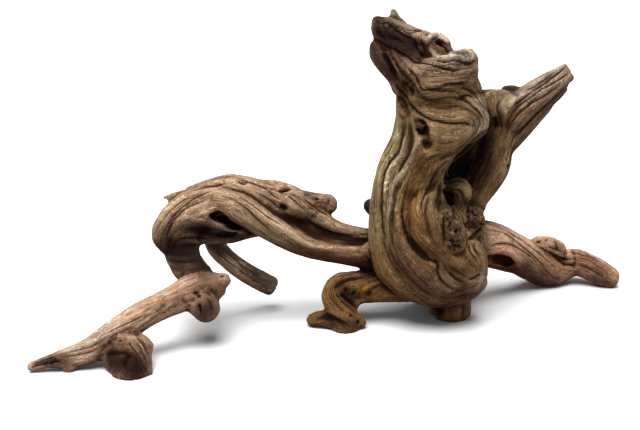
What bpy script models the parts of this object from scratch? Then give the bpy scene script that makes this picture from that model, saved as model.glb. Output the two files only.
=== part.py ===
"""Mangrove driftwood: one piece of weathered root wood that stands on its own feet.

The shape is drawn as a bundle of strands, the way the wood itself grew: each strand is a path with a
thickness, and strands that run side by side have fused. A place on a path is given on a front view, a
sheet of paper 640 mm wide and 430 mm high at the object's real size, and by how far back it lies.
"""

import math

import bmesh
import bpy
from mathutils import Vector

MM = 0.001

# The front view: where it is seen from, and where its sheet stands.
LOOK_DOWN = math.radians(18)
EYE_DISTANCE = 1200
SHEET_MIDDLE = (320, 215)
STANDING_SPOT = (324, 321)
FOOTPRINT_MIDDLE = (24, -6.5)

# The surface: how finely it is made, and how far its hard creases are rounded.
POINTS_A_STEP = 4
SIDES_RESOLUTION = 5
SKIN_SIZE = 3.5
SKIN_ALLOWANCE = 0.7
ROUNDING_PASSES = 3
KEPT_SHARE = 0.15

WOOD_COLOUR = (0.33, 0.21, 0.12, 1)

# Each strand: (across, down, back, radius) in millimetres along its path.
TRUNK = {
    "body": [(440, 93, 12, 37), (440, 104, 10, 42), (443, 118, 5, 45), (440, 134, 2, 45), (431, 150, 0, 40),
             (417, 166, 0, 35), (408, 185, 0, 33), (405, 204, -2, 33), (409, 226, -4, 38), (422, 248, -6, 42),
             (436, 264, -4, 41)],
    "belly": [(430, 184, -8, 9), (425, 200, -10, 16), (432, 222, -12, 24), (444, 242, -12, 29),
              (457, 258, -12, 29), (461, 270, -10, 26)],
    "outer_band": [(405, 100, 2, 9), (404, 118, -4, 8), (402, 140, -8, 11), (396, 160, -10, 14),
                   (391, 182, -12, 16), (388, 205, -13, 17), (388, 225, -13, 18), (391, 245, -14, 20),
                   (399, 264, -14, 23), (416, 280, -14, 21), (438, 289, -12, 17), (460, 290, -6, 14.5),
                   (474, 281, -2, 13)],
    "rear_mass": [(448, 95, 38, 26), (455, 125, 46, 30), (464, 155, 54, 30), (456, 185, 52, 31),
                  (446, 205, 46, 36), (444, 225, 42, 38), (445, 245, 38, 40), (440, 266, 32, 36)],
    "rear_flank": [(418, 118, 28, 18), (409, 150, 26, 20), (402, 185, 26, 25), (402, 220, 26, 28),
                   (410, 250, 26, 28)],
    "pillar": [(500, 108, 34, 16), (498, 122, 34, 16.5), (497, 138, 34, 17), (494, 152, 34, 17.5),
               (491, 164, 34, 18.5), (484, 178, 34, 18), (475, 192, 32, 16), (468, 206, 28, 16),
               (463, 224, 20, 20)],
    "pillar_knob": [(502, 158, 30, 7), (506, 162, 28, 5.5), (505, 167, 28, 5)],
    "shoulder": [(470, 108, 15, 17), (486, 107, 22, 16), (502, 108, 30, 17)],
    "inner_lump": [(448, 190, 4, 8), (458, 186, 6, 10), (464, 191, 6, 8)],
    "crumbling_knot": [(445, 212, -26, 7), (451, 224, -33, 8.5), (454, 236, -36, 9.5), (455, 246, -35, 8)],
    "side_knot": [(470, 214, -2, 9), (475, 221, -5, 11), (477, 229, -6, 9)],
    "flange": [(380, 246, -2, 10), (371, 249, -4, 8), (367, 256, -5, 5)],
    "back_stub": [(392, 214, 45, 12), (379, 212, 50, 8), (370.5, 206, 54, 6.5)],
    "standing_stub": [(448, 282, 10, 20), (450, 300, 15, 19.5), (450, 326, 17, 18.5)],
    "rear_foot": [(440, 258, 50, 28), (436, 276, 70, 21), (434, 292, 84, 17), (433, 310, 88, 16)],
}
HEAD = {
    "crown_rim": [(414, 72, 2, 8), (421, 70, -12, 9), (438, 66, -20, 9), (456, 61, -15, 9), (467, 59, 2, 9),
                  (468, 61, 20, 9), (460, 65, 34, 9), (438, 68, 40, 9), (421, 68, 28, 9)],
    "crown_ring": [(415, 86, 0, 11), (420, 86, -12, 12), (436, 84, -21, 13), (453, 80, -18, 12), (465, 77, -2, 11),
                   (466, 78, 18, 11), (459, 82, 34, 12), (438, 84, 40, 12), (420, 82, 32, 12)],
    "crown_heart": [(440, 74, 10, 20), (440, 92, 12, 33)],
    "core": [(438, 74, 16, 22), (424, 62, 15, 20), (408, 52, 13, 18), (396, 42, 11, 15), (386, 34, 9, 11),
             (381, 29, 8, 8)],
    "brow": [(438, 58, -2, 11), (428, 45, -2, 12), (415, 39, -3, 11), (402, 33, -5, 10.5), (390, 28, -5, 9.5),
             (381, 25, -3, 8)],
    "muzzle": [(386, 38, 2, 8), (380, 33, 0, 6.5)],
    "outer_shard": [(376, 46, -2, 6), (378, 54, -4, 8), (385, 65, -5, 8), (394, 77, -5, 7), (400, 88, -3, 8)],
    "middle_shard": [(390, 54, -8, 5), (399, 67, -12, 6), (408, 80, -14, 6), (415, 91, -13, 6)],
    "inner_shard": [(399, 51, -8, 5), (410, 63, -13, 6.5), (420, 76, -17, 8)],
    "horn": [(405, 34, 2, 8), (398, 23, 2, 5), (393.5, 13, 1, 3.4)],
    "hollow_stub": [(438, 60, 6, 13), (439, 50, -2, 12), (439, 46, -8, 11.5)],
}
BRANCH = {
    "upper_branch": [(498, 120, 36, 17), (513, 113, 37, 19), (529, 102, 38, 16.5), (544, 92, 40, 14),
                     (555, 84, 42, 11.5), (561, 79, 43, 9.5)],
    "branch_web": [(498, 150, 34, 12), (511, 135, 36, 13), (526, 118, 38, 13), (543, 104, 40, 9)],
    "upper_splinter": [(528, 92, 38, 8), (546, 78, 40, 5), (565, 65.5, 42, 2.2)],
    "middle_splinter": [(548, 84, 41, 8), (559, 77, 42, 6.5), (567, 72, 43, 4)],
    "lower_splinter": [(540, 104, 39, 8), (552, 95, 41, 8), (562, 86, 43, 6.5), (570, 77, 44, 4)],
    "dark_stub": [(518, 99, 44, 8), (513, 92, 47, 6.5), (505, 90, 50, 4)],
}
ARCH = {
    "lower_rail": [(395, 262, 6, 13), (372, 257, 4, 12), (340, 252, 2, 11.5), (312, 246, 0, 12),
                   (290, 237, -3, 13.5), (268, 224, -7, 15), (248, 212, -10, 15), (230, 204, -11, 14),
                   (215, 200, -10, 13), (202, 200, -8, 12)],
    "upper_rail": [(392, 238, 14, 10), (372, 236, 14, 8), (352, 233, 13, 7.5), (338, 229, 12, 7.5),
                   (325, 222, 11, 8.5), (310, 212, 9, 11), (295, 204, 6, 15.5), (278, 200, 4, 18.5),
                   (260, 196, 3, 17), (242, 190, 3, 13), (225, 189, 2, 11), (205, 192, 0, 9)],
    "trough_wall": [(385, 247, 22, 11), (355, 245, 19, 11), (328, 238, 15, 11), (305, 227, 10, 11)],
    "finger": [(285, 196, 14, 10), (300, 199, 18, 10), (315, 203, 22, 10.5), (327, 204, 24, 10.5)],
    "crest": [(190, 192, 8, 5), (202, 187, 10, 5), (214, 183, 12, 5), (228, 179.5, 12, 5), (238, 180, 9, 5),
              (255, 184, 8, 6)],
    "spike": [(205, 194, -2, 6), (190, 194, -4, 5), (178, 195.5, -6, 3.8), (165, 197.5, -8, 1.8)],
    "hip_edge": [(212, 197, -6, 9), (196, 200, -10, 12), (182, 210, -13, 13.5), (173, 221, -15, 15),
                 (167, 233, -16, 14.5), (170, 241, -16, 13)],
    "hip": [(215, 206, -12, 13), (198, 212, -15, 16), (186, 222, -16, 18), (181, 234, -14, 18),
            (182, 246, -15, 17), (183, 256, -20, 16)],
    "shelf": [(182, 229, -10, 15), (198, 231, -6, 13), (215, 235, -2, 9), (232, 236, 2, 6.5),
              (246, 232, 4, 6.5), (262, 226, 4, 9)],
    "shelf_rim": [(180, 219, -24, 6), (196, 221, -22, 5), (212, 223, -17, 4.5), (227, 227, -10, 4),
                  (243, 230, -4, 4)],
    "eye_wall": [(198, 218, 12, 13), (222, 219, 15, 14), (245, 219, 13, 14), (262, 217, 9, 13)],
    "strut": [(182, 244, -14, 17), (183, 256, -20, 16), (188, 266, -29, 16), (198, 277, -40, 15)],
    "hanging_stick": [(213, 236, 12, 9.5), (218, 249, 14, 9.5), (230, 261, 18, 9), (245, 272, 24, 9),
                      (260, 280, 30, 9), (274, 287, 34, 8.5)],
}
LEG = {
    "shin": [(214, 284, -46, 11), (203, 286, -50, 15.5), (190, 291, -56, 15.5), (175, 299, -64, 14),
             (160, 306, -73, 13.3), (148, 312, -80, 13.5), (135, 320, -88, 13.5), (120, 330.5, -96, 13.5),
             (105, 341, -101, 13.3), (90, 350.5, -106, 12.5), (76, 355.5, -109, 10.5), (62, 359, -112, 9),
             (48, 361.5, -115, 6), (36, 365, -117, 4.8), (31, 366.5, -118, 4)],
    "knob_foot": [(122, 340, -101, 13), (129, 351, -110, 18), (131, 362, -117, 20), (131, 386, -117, 19)],
    "knob_heel": [(110, 350, -104, 12), (116, 360, -112, 12), (121, 372, -117, 10)],
    "knob_ear": [(130, 342, -101, 9), (141, 345, -106, 10.5), (143, 356, -112, 8), (145, 370, -120, 7)],
    "side_knob": [(190, 297, -58, 12), (203, 304, -62, 14), (206, 308, -64, 13.5)],
    "top_knob": [(210, 283, -48, 11), (220, 281, -51, 8), (223.5, 280, -51, 6.8)],
    "leg_bump": [(66, 360, -112, 8), (69, 367, -114, 6.5)],
}
CURL = {
    "curl": [(415, 286, 14, 15), (392, 286.5, 8, 15.5), (370, 286.5, 2, 15.5), (352, 286.5, -4, 14),
             (340, 288, -10, 13.5), (334.5, 296, -14, 12.5), (337, 306, -17, 12.5), (344, 318, -19, 13.5),
             (346, 336, -19, 13)],
    "curl_web": [(396, 291, 8, 11), (374, 293, 2, 9.5), (358, 297, -8, 8), (348, 306, -14, 8)],
    "toe": [(346, 321, -19, 10), (333, 320, -17, 8.5), (321, 318.5, -15, 7.3), (313, 320, -13, 6.3)],
    "heel": [(352, 320, -19, 10), (360.5, 323, -18, 5)],
}
RIGHT_LIMB = {
    "right_limb": [(462, 238, 40, 20), (486, 242, 54, 21), (503, 248, 68, 19.5), (519, 255, 82, 18),
                   (534, 263, 94, 18), (549, 268, 102, 18.5), (562, 266, 106, 15), (575, 262, 106, 13),
                   (590, 267.5, 102, 12.5), (602, 274, 97, 11.8), (609, 277, 95, 10.5)],
    "cave_wall": [(470, 255, 56, 13), (488, 256, 62, 12), (505, 261, 74, 10), (520, 266, 86, 8)],
    "limb_knot": [(538, 244.5, 92, 8), (549, 245, 94, 8.5), (559, 249, 96, 7.5)],
}

# The hollows, in the same form, are cut from the fused strands.
HOLLOWS = {
    "trunk_hollow": [(486, 135, 2, 6), (474, 152, 10, 11), (462, 170, 14, 14), (456, 182, 16, 10)],
    "stub_mouth": [(437, 43, -34, 5), (440, 47, -14, 6), (443, 53, 0, 5)],
    "jaw": [(396, 44, -30, 5), (406, 52, -10, 6.5), (412, 60, -4, 5)],
    "arch_eye": [(212, 214, -34, 4), (226, 219, -12, 7), (240, 226, -2, 6)],
    "shelf_oval": [(220, 233, -24, 5), (234, 234, -18, 5)],
    "limb_cave": [(488, 264, 26, 8), (500, 262, 42, 8), (509, 263, 54, 6)],
    "knob_mouth": [(131, 366, -150, 8), (131, 362, -130, 8)],
}
STRAND_GROUPS = (TRUNK, HEAD, BRANCH, ARCH, LEG, CURL, RIGHT_LIMB)
SAWN = ("hanging_stick",)


def clear_scene():
    """Starts from an empty scene."""
    for item in list(bpy.data.objects):
        bpy.data.objects.remove(item)


def seen(across, down, back):
    """The point that the front view shows at (across, down) and that lies `back` behind the sheet's foot.

    Returns the point and the share by which a size on the sheet shrinks or grows at that distance.
    """
    upward = Vector((0, math.sin(LOOK_DOWN), math.cos(LOOK_DOWN)))
    forward = Vector((0, math.cos(LOOK_DOWN), -math.sin(LOOK_DOWN)))
    rightward = Vector((1, 0, 0))

    def on_sheet(x, y):
        return rightward * (x - STANDING_SPOT[0]) + upward * (STANDING_SPOT[1] - y)

    eye = on_sheet(*SHEET_MIDDLE) - EYE_DISTANCE * forward
    sight = on_sheet(across, down) - eye
    share = (back - eye.y) / sight.y
    return eye + share * sight, share


def spline_through(stations, steps):
    """Points on a Catmull-Rom spline through the stations, each (x, y, z, radius) as a 4-vector list."""
    ends = [stations[0]] + stations + [stations[-1]]
    points = []
    for before, start, end, after in zip(ends, ends[1:], ends[2:], ends[3:]):
        for step in range(steps):
            t = step / steps
            points.append([
                0.5 * (2 * b + (c - a) * t + (2 * a - 5 * b + 4 * c - d) * t**2 + (3 * b - a - 3 * c + d) * t**3)
                for a, b, c, d in zip(before, start, end, after)
            ])
    points.append(list(stations[-1]))
    return points


def with_round_ends(points, sawn):
    """Adds a half ball to each end of a path, as points whose radius falls off like a circle's.

    A sawn strand keeps its last end flat.
    """
    rounding = (0.5, 0.8, 0.95)

    def cap(end, inner):
        outward = (Vector(end[:3]) - Vector(inner[:3])).normalized()
        radius = end[3]
        return [
            [*(Vector(end[:3]) + outward * radius * out), radius * math.sqrt(1 - out**2)] for out in rounding
        ]

    last = [] if sawn else cap(points[-1], points[-2])
    return cap(points[0], points[1])[::-1] + points + last


def sweep(name, strands):
    """One mesh object that holds every strand as a closed tube along its path."""
    curve = bpy.data.curves.new(name, "CURVE")
    curve.dimensions = "3D"
    curve.bevel_depth = 1
    curve.bevel_resolution = SIDES_RESOLUTION
    curve.use_fill_caps = True
    for title, rows in strands.items():
        stations = []
        for across, down, back, radius in rows:
            place, share = seen(across, down, back)
            place -= Vector((*FOOTPRINT_MIDDLE, 0))
            stations.append([*(place * MM), (radius * share + SKIN_ALLOWANCE) * MM])
        points = with_round_ends(spline_through(stations, POINTS_A_STEP), title in SAWN)
        spline = curve.splines.new("POLY")
        spline.points.add(len(points) - 1)
        for target, (x, y, z, radius) in zip(spline.points, points):
            target.co = (x, y, z, 1)
            target.radius = radius
    tube = bpy.data.objects.new(name + "_tubes", curve)
    bpy.context.scene.collection.objects.link(tube)
    graph = bpy.context.evaluated_depsgraph_get()
    mesh = bpy.data.meshes.new_from_object(tube.evaluated_get(graph))
    bpy.data.objects.remove(tube)
    shape = bmesh.new()
    shape.from_mesh(mesh)
    bmesh.ops.remove_doubles(shape, verts=shape.verts, dist=0.00001)
    shape.to_mesh(mesh)
    shape.free()
    mesh.shade_smooth()
    return bpy.data.objects.new(name, mesh)


def wrap(piece, name):
    """Wraps everything that overlaps in one closed, even skin."""
    skin = piece.modifiers.new(name, "REMESH")
    skin.mode = "VOXEL"
    skin.voxel_size = SKIN_SIZE * MM


def cut(piece, cutter, name):
    """Takes the cutter's volume out of the piece."""
    boolean = piece.modifiers.new(name, "BOOLEAN")
    boolean.operation = "DIFFERENCE"
    boolean.object = cutter


def ground_block():
    """A block that fills the space below the ground, so that the feet it trims are flat."""
    size = 1.2
    bpy.ops.mesh.primitive_cube_add(size=size, location=(0, 0, -size / 2))
    block = bpy.context.object
    block.name = "ground"
    return block


def wood():
    """Weathered bare root wood: brown, dry and rough."""
    material = bpy.data.materials.new("weathered_wood")
    material.use_nodes = True
    shader = material.node_tree.nodes["Principled BSDF"]
    shader.inputs["Base Color"].default_value = WOOD_COLOUR
    shader.inputs["Roughness"].default_value = 0.8
    return material


def main():
    clear_scene()
    parts = bpy.data.collections.new("driftwood")
    cutters = bpy.data.collections.new("cutters")
    for collection in (parts, cutters):
        bpy.context.scene.collection.children.link(collection)

    driftwood = sweep("driftwood", {title: rows for group in STRAND_GROUPS for title, rows in group.items()})
    parts.objects.link(driftwood)
    driftwood.data.materials.append(wood())
    wrap(driftwood, "fused_strands")

    hollows = sweep("hollows", HOLLOWS)
    cutters.objects.link(hollows)
    wrap(hollows, "fused_hollows")

    ground = ground_block()
    for holder in list(ground.users_collection):
        holder.objects.unlink(ground)
    cutters.objects.link(ground)
    for cutter in (hollows, ground):
        cutter.hide_render = True
        cutter.display_type = "WIRE"

    cut(driftwood, hollows, "hollows")
    wrap(driftwood, "even_skin")
    soften = driftwood.modifiers.new("soft_creases", "SMOOTH")
    soften.iterations = ROUNDING_PASSES
    thin = driftwood.modifiers.new("fewer_faces", "DECIMATE")
    thin.ratio = KEPT_SHARE
    cut(driftwood, ground, "flat_feet")


main()
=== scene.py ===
# %% [markdown]
# # A piece of mangrove driftwood
# The real thing is one dry root of a mangrove, a tree that stands on arched roots in tidal mud. Sea and
# sand have taken its bark, so the surface is bare grain: flutes that run along each root, cracks where it
# dried, and holes where it rotted. This script gives that surface to the solid that the frame holds.
# The frame comes first, because everything else has to lie where it does.

# %% The frame
import itertools
import math

import bpy
import numpy as np
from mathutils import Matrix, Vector
from mathutils.bvhtree import BVHTree


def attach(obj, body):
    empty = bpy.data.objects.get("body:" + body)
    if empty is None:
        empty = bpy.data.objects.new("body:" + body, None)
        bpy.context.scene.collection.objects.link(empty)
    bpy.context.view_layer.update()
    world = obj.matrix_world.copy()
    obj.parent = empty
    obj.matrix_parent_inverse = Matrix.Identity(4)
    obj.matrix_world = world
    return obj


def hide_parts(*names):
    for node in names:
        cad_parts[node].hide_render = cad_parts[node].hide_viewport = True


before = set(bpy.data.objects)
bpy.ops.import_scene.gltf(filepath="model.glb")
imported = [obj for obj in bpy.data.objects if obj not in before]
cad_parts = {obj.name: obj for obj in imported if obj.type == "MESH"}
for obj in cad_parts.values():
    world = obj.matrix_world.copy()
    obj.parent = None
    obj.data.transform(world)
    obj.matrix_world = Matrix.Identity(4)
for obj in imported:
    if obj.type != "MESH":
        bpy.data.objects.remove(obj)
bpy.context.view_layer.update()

# %% [markdown]
# The shape is easiest to draw on a front view: a sheet of paper 640 mm wide and 430 mm high, held up at
# the wood's real size, and looked at from 1.2 m away and 18 degrees above. A place on the wood is then
# (across, down) on the sheet and how far back it lies. Reading world coordinates off a view by eye would
# be slower, and a change of depth would move the outline. This way it never does.

# %% The front view
MM = 0.001
LOOK_DOWN = math.radians(18)
EYE_DISTANCE = 1200     # mm
SHEET_MIDDLE = np.array([320, 215])
STANDING_SPOT = np.array([324, 321])    # the place on the sheet where it touches the ground
FOOTPRINT_MIDDLE = np.array([24, -6.5, 0])      # mm from that spot; the object's origin
RIGHTWARD = np.array([1, 0, 0])
UPWARD = np.array([0, math.sin(LOOK_DOWN), math.cos(LOOK_DOWN)])
FORWARD = np.array([0, math.cos(LOOK_DOWN), -math.sin(LOOK_DOWN)])


def on_sheet(places):
    """The point of the sheet at (across, down), in millimetres round the standing spot."""
    away = np.asarray(places, float) - STANDING_SPOT
    return away[..., :1] * RIGHTWARD - away[..., 1:2] * UPWARD


EYE = on_sheet(SHEET_MIDDLE) - EYE_DISTANCE * FORWARD


def seen(rows):
    """Places of rows (across, down, back, ...), and the share by which a size on the sheet changes there.

    The line of sight through (across, down) is followed until it lies `back` behind the sheet's foot.
    """
    sight = on_sheet(rows[:, :2]) - EYE
    share = (rows[:, 2] - EYE[1]) / sight[:, 1]
    return EYE + share[:, None] * sight - FOOTPRINT_MIDDLE, share


print("the eye is at", (EYE - FOOTPRINT_MIDDLE).round(), "mm")

# %% [markdown]
# A root grows as a bundle of strands that thicken until they touch and fuse. The model is drawn the same
# way. Each row is (across, down, back, radius) in millimetres at a station on a strand's path, and the
# names say what each strand is on the wood. The frame's solid was fused from these same strands.

# %% The strands
TRUNK = {
    "body": [(440, 93, 12, 37), (440, 104, 10, 42), (443, 118, 5, 45), (440, 134, 2, 45), (431, 150, 0, 40),
        (417, 166, 0, 35), (408, 185, 0, 33), (405, 204, -2, 33), (409, 226, -4, 38), (422, 248, -6, 42),
        (436, 264, -4, 41)],
    "belly": [(430, 184, -8, 9), (425, 200, -10, 16), (432, 222, -12, 24), (444, 242, -12, 29),
        (457, 258, -12, 29), (461, 270, -10, 26)],
    "outer_band": [(405, 100, 2, 9), (404, 118, -4, 8), (402, 140, -8, 11), (396, 160, -10, 14),
        (391, 182, -12, 16), (388, 205, -13, 17), (388, 225, -13, 18), (391, 245, -14, 20),
        (399, 264, -14, 23), (416, 280, -14, 21), (438, 289, -12, 17), (460, 290, -6, 14.5),
        (474, 281, -2, 13)],
    "rear_mass": [(448, 95, 38, 26), (455, 125, 46, 30), (464, 155, 54, 30), (456, 185, 52, 31),
        (446, 205, 46, 36), (444, 225, 42, 38), (445, 245, 38, 40), (440, 266, 32, 36)],
    "rear_flank": [(418, 118, 28, 18), (409, 150, 26, 20), (402, 185, 26, 25), (402, 220, 26, 28),
        (410, 250, 26, 28)],
    "pillar": [(500, 108, 34, 16), (498, 122, 34, 16.5), (497, 138, 34, 17), (494, 152, 34, 17.5),
        (491, 164, 34, 18.5), (484, 178, 34, 18), (475, 192, 32, 16), (468, 206, 28, 16), (463, 224, 20, 20)],
    "pillar_knob": [(502, 158, 30, 7), (506, 162, 28, 5.5), (505, 167, 28, 5)],
    "shoulder": [(470, 108, 15, 17), (486, 107, 22, 16), (502, 108, 30, 17)],
    "inner_lump": [(448, 190, 4, 8), (458, 186, 6, 10), (464, 191, 6, 8)],
    "crumbling_knot": [(445, 212, -26, 7), (451, 224, -33, 8.5), (454, 236, -36, 9.5), (455, 246, -35, 8)],
    "side_knot": [(470, 214, -2, 9), (475, 221, -5, 11), (477, 229, -6, 9)],
    "flange": [(380, 246, -2, 10), (371, 249, -4, 8), (367, 256, -5, 5)],
    "back_stub": [(392, 214, 45, 12), (379, 212, 50, 8), (370.5, 206, 54, 6.5)],
    "standing_stub": [(448, 282, 10, 20), (450, 300, 15, 19.5), (450, 326, 17, 18.5)],
    "rear_foot": [(440, 258, 50, 28), (436, 276, 70, 21), (434, 292, 84, 17), (433, 310, 88, 16)],
}
print(len(TRUNK), "strands in the trunk")

# %% The strands of the head
HEAD = {
    "crown_rim": [(414, 72, 2, 8), (421, 70, -12, 9), (438, 66, -20, 9), (456, 61, -15, 9), (467, 59, 2, 9),
        (468, 61, 20, 9), (460, 65, 34, 9), (438, 68, 40, 9), (421, 68, 28, 9)],
    "crown_ring": [(415, 86, 0, 11), (420, 86, -12, 12), (436, 84, -21, 13), (453, 80, -18, 12),
        (465, 77, -2, 11), (466, 78, 18, 11), (459, 82, 34, 12), (438, 84, 40, 12), (420, 82, 32, 12)],
    "crown_heart": [(440, 74, 10, 20), (440, 92, 12, 33)],
    "core": [(438, 74, 16, 22), (424, 62, 15, 20), (408, 52, 13, 18), (396, 42, 11, 15), (386, 34, 9, 11),
        (381, 29, 8, 8)],
    "brow": [(438, 58, -2, 11), (428, 45, -2, 12), (415, 39, -3, 11), (402, 33, -5, 10.5), (390, 28, -5, 9.5),
        (381, 25, -3, 8)],
    "muzzle": [(386, 38, 2, 8), (380, 33, 0, 6.5)],
    "outer_shard": [(376, 46, -2, 6), (378, 54, -4, 8), (385, 65, -5, 8), (394, 77, -5, 7), (400, 88, -3, 8)],
    "middle_shard": [(390, 54, -8, 5), (399, 67, -12, 6), (408, 80, -14, 6), (415, 91, -13, 6)],
    "inner_shard": [(399, 51, -8, 5), (410, 63, -13, 6.5), (420, 76, -17, 8)],
    "horn": [(405, 34, 2, 8), (398, 23, 2, 5), (393.5, 13, 1, 3.4)],
    "hollow_stub": [(438, 60, 6, 13), (439, 50, -2, 12), (439, 46, -8, 11.5)],
}
print(len(HEAD), "strands in the head")

# %% The strands of the branch
BRANCH = {
    "upper_branch": [(498, 120, 36, 17), (513, 113, 37, 19), (529, 102, 38, 16.5), (544, 92, 40, 14),
        (555, 84, 42, 11.5), (561, 79, 43, 9.5)],
    "branch_web": [(498, 150, 34, 12), (511, 135, 36, 13), (526, 118, 38, 13), (543, 104, 40, 9)],
    "upper_splinter": [(528, 92, 38, 8), (546, 78, 40, 5), (565, 65.5, 42, 2.2)],
    "middle_splinter": [(548, 84, 41, 8), (559, 77, 42, 6.5), (567, 72, 43, 4)],
    "lower_splinter": [(540, 104, 39, 8), (552, 95, 41, 8), (562, 86, 43, 6.5), (570, 77, 44, 4)],
    "dark_stub": [(518, 99, 44, 8), (513, 92, 47, 6.5), (505, 90, 50, 4)],
}
print(len(BRANCH), "strands in the branch")

# %% The strands of the arch and its hip
ARCH = {
    "lower_rail": [(395, 262, 6, 13), (372, 257, 4, 12), (340, 252, 2, 11.5), (312, 246, 0, 12),
        (290, 237, -3, 13.5), (268, 224, -7, 15), (248, 212, -10, 15), (230, 204, -11, 14),
        (215, 200, -10, 13), (202, 200, -8, 12)],
    "upper_rail": [(392, 238, 14, 10), (372, 236, 14, 8), (352, 233, 13, 7.5), (338, 229, 12, 7.5),
        (325, 222, 11, 8.5), (310, 212, 9, 11), (295, 204, 6, 15.5), (278, 200, 4, 18.5), (260, 196, 3, 17),
        (242, 190, 3, 13), (225, 189, 2, 11), (205, 192, 0, 9)],
    "trough_wall": [(385, 247, 22, 11), (355, 245, 19, 11), (328, 238, 15, 11), (305, 227, 10, 11)],
    "finger": [(285, 196, 14, 10), (300, 199, 18, 10), (315, 203, 22, 10.5), (327, 204, 24, 10.5)],
    "crest": [(190, 192, 8, 5), (202, 187, 10, 5), (214, 183, 12, 5), (228, 179.5, 12, 5), (238, 180, 9, 5),
        (255, 184, 8, 6)],
    "spike": [(205, 194, -2, 6), (190, 194, -4, 5), (178, 195.5, -6, 3.8), (165, 197.5, -8, 1.8)],
    "hip_edge": [(212, 197, -6, 9), (196, 200, -10, 12), (182, 210, -13, 13.5), (173, 221, -15, 15),
        (167, 233, -16, 14.5), (170, 241, -16, 13)],
    "hip": [(215, 206, -12, 13), (198, 212, -15, 16), (186, 222, -16, 18), (181, 234, -14, 18),
        (182, 246, -15, 17), (183, 256, -20, 16)],
    "shelf": [(182, 229, -10, 15), (198, 231, -6, 13), (215, 235, -2, 9), (232, 236, 2, 6.5),
        (246, 232, 4, 6.5), (262, 226, 4, 9)],
    "shelf_rim": [(180, 219, -24, 6), (196, 221, -22, 5), (212, 223, -17, 4.5), (227, 227, -10, 4),
        (243, 230, -4, 4)],
    "eye_wall": [(198, 218, 12, 13), (222, 219, 15, 14), (245, 219, 13, 14), (262, 217, 9, 13)],
    "strut": [(182, 244, -14, 17), (183, 256, -20, 16), (188, 266, -29, 16), (198, 277, -40, 15)],
    "hanging_stick": [(213, 236, 12, 9.5), (218, 249, 14, 9.5), (230, 261, 18, 9), (245, 272, 24, 9),
        (260, 280, 30, 9), (274, 287, 34, 8.5)],
}
print(len(ARCH), "strands in the arch")

# %% The strands of the leg
LEG = {
    "shin": [(214, 284, -46, 11), (203, 286, -50, 15.5), (190, 291, -56, 15.5), (175, 299, -64, 14),
        (160, 306, -73, 13.3), (148, 312, -80, 13.5), (135, 320, -88, 13.5), (120, 330.5, -96, 13.5),
        (105, 341, -101, 13.3), (90, 350.5, -106, 12.5), (76, 355.5, -109, 10.5), (62, 359, -112, 9),
        (48, 361.5, -115, 6), (36, 365, -117, 4.8), (31, 366.5, -118, 4)],
    "knob_foot": [(122, 340, -101, 13), (129, 351, -110, 18), (131, 362, -117, 20), (131, 386, -117, 19)],
    "knob_heel": [(110, 350, -104, 12), (116, 360, -112, 12), (121, 372, -117, 10)],
    "knob_ear": [(130, 342, -101, 9), (141, 345, -106, 10.5), (143, 356, -112, 8), (145, 370, -120, 7)],
    "side_knob": [(190, 297, -58, 12), (203, 304, -62, 14), (206, 308, -64, 13.5)],
    "top_knob": [(210, 283, -48, 11), (220, 281, -51, 8), (223.5, 280, -51, 6.8)],
    "leg_bump": [(66, 360, -112, 8), (69, 367, -114, 6.5)],
}
print(len(LEG), "strands in the leg")

# %% The strands of the curled foot
CURL = {
    "curl": [(415, 286, 14, 15), (392, 286.5, 8, 15.5), (370, 286.5, 2, 15.5), (352, 286.5, -4, 14),
        (340, 288, -10, 13.5), (334.5, 296, -14, 12.5), (337, 306, -17, 12.5), (344, 318, -19, 13.5),
        (346, 336, -19, 13)],
    "curl_web": [(396, 291, 8, 11), (374, 293, 2, 9.5), (358, 297, -8, 8), (348, 306, -14, 8)],
    "toe": [(346, 321, -19, 10), (333, 320, -17, 8.5), (321, 318.5, -15, 7.3), (313, 320, -13, 6.3)],
    "heel": [(352, 320, -19, 10), (360.5, 323, -18, 5)],
}
print(len(CURL), "strands in the curled foot")

# %% The strands of the right limb
RIGHT_LIMB = {
    "right_limb": [(462, 238, 40, 20), (486, 242, 54, 21), (503, 248, 68, 19.5), (519, 255, 82, 18),
        (534, 263, 94, 18), (549, 268, 102, 18.5), (562, 266, 106, 15), (575, 262, 106, 13),
        (590, 267.5, 102, 12.5), (602, 274, 97, 11.8), (609, 277, 95, 10.5)],
    "cave_wall": [(470, 255, 56, 13), (488, 256, 62, 12), (505, 261, 74, 10), (520, 266, 86, 8)],
    "limb_knot": [(538, 244.5, 92, 8), (549, 245, 94, 8.5), (559, 249, 96, 7.5)],
}
STRAND_GROUPS = (TRUNK, HEAD, BRANCH, ARCH, LEG, CURL, RIGHT_LIMB)
SAWN = ("hanging_stick",)
print(len(RIGHT_LIMB), "strands in the right limb, and", sum(map(len, STRAND_GROUPS)), "in all")

# %% [markdown]
# Some places are open: the folded trunk, the eye of the arch, the mouth of the hollow stub. Leaving gaps
# between strands can't give them a clean rim, so they are drawn as strands too, and cut out of the wood.

# %% The hollows
HOLLOWS = {
    "trunk_hollow": [(486, 135, 2, 6), (474, 152, 10, 11), (462, 170, 14, 14), (456, 182, 16, 10)],
    "stub_mouth": [(437, 43, -34, 5), (440, 47, -14, 6), (443, 53, 0, 5)],
    "jaw": [(396, 44, -30, 5), (406, 52, -10, 6.5), (412, 60, -4, 5)],
    "arch_eye": [(212, 214, -34, 4), (226, 219, -12, 7), (240, 226, -2, 6)],
    "shelf_oval": [(220, 233, -24, 5), (234, 234, -18, 5)],
    "limb_cave": [(488, 264, 26, 8), (500, 262, 42, 8), (509, 263, 54, 6)],
    "knob_mouth": [(131, 366, -150, 8), (131, 362, -130, 8)],
}
print(len(HOLLOWS), "hollows")

# %% [markdown]
# The frame's solid does with what has been drawn so far. The looks need more: rolled edges and cushions that
# lie on the wood's skin, and small caves that open in it. They are drawn in the same two forms, so that they
# fuse with the rest and no seam shows.

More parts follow.
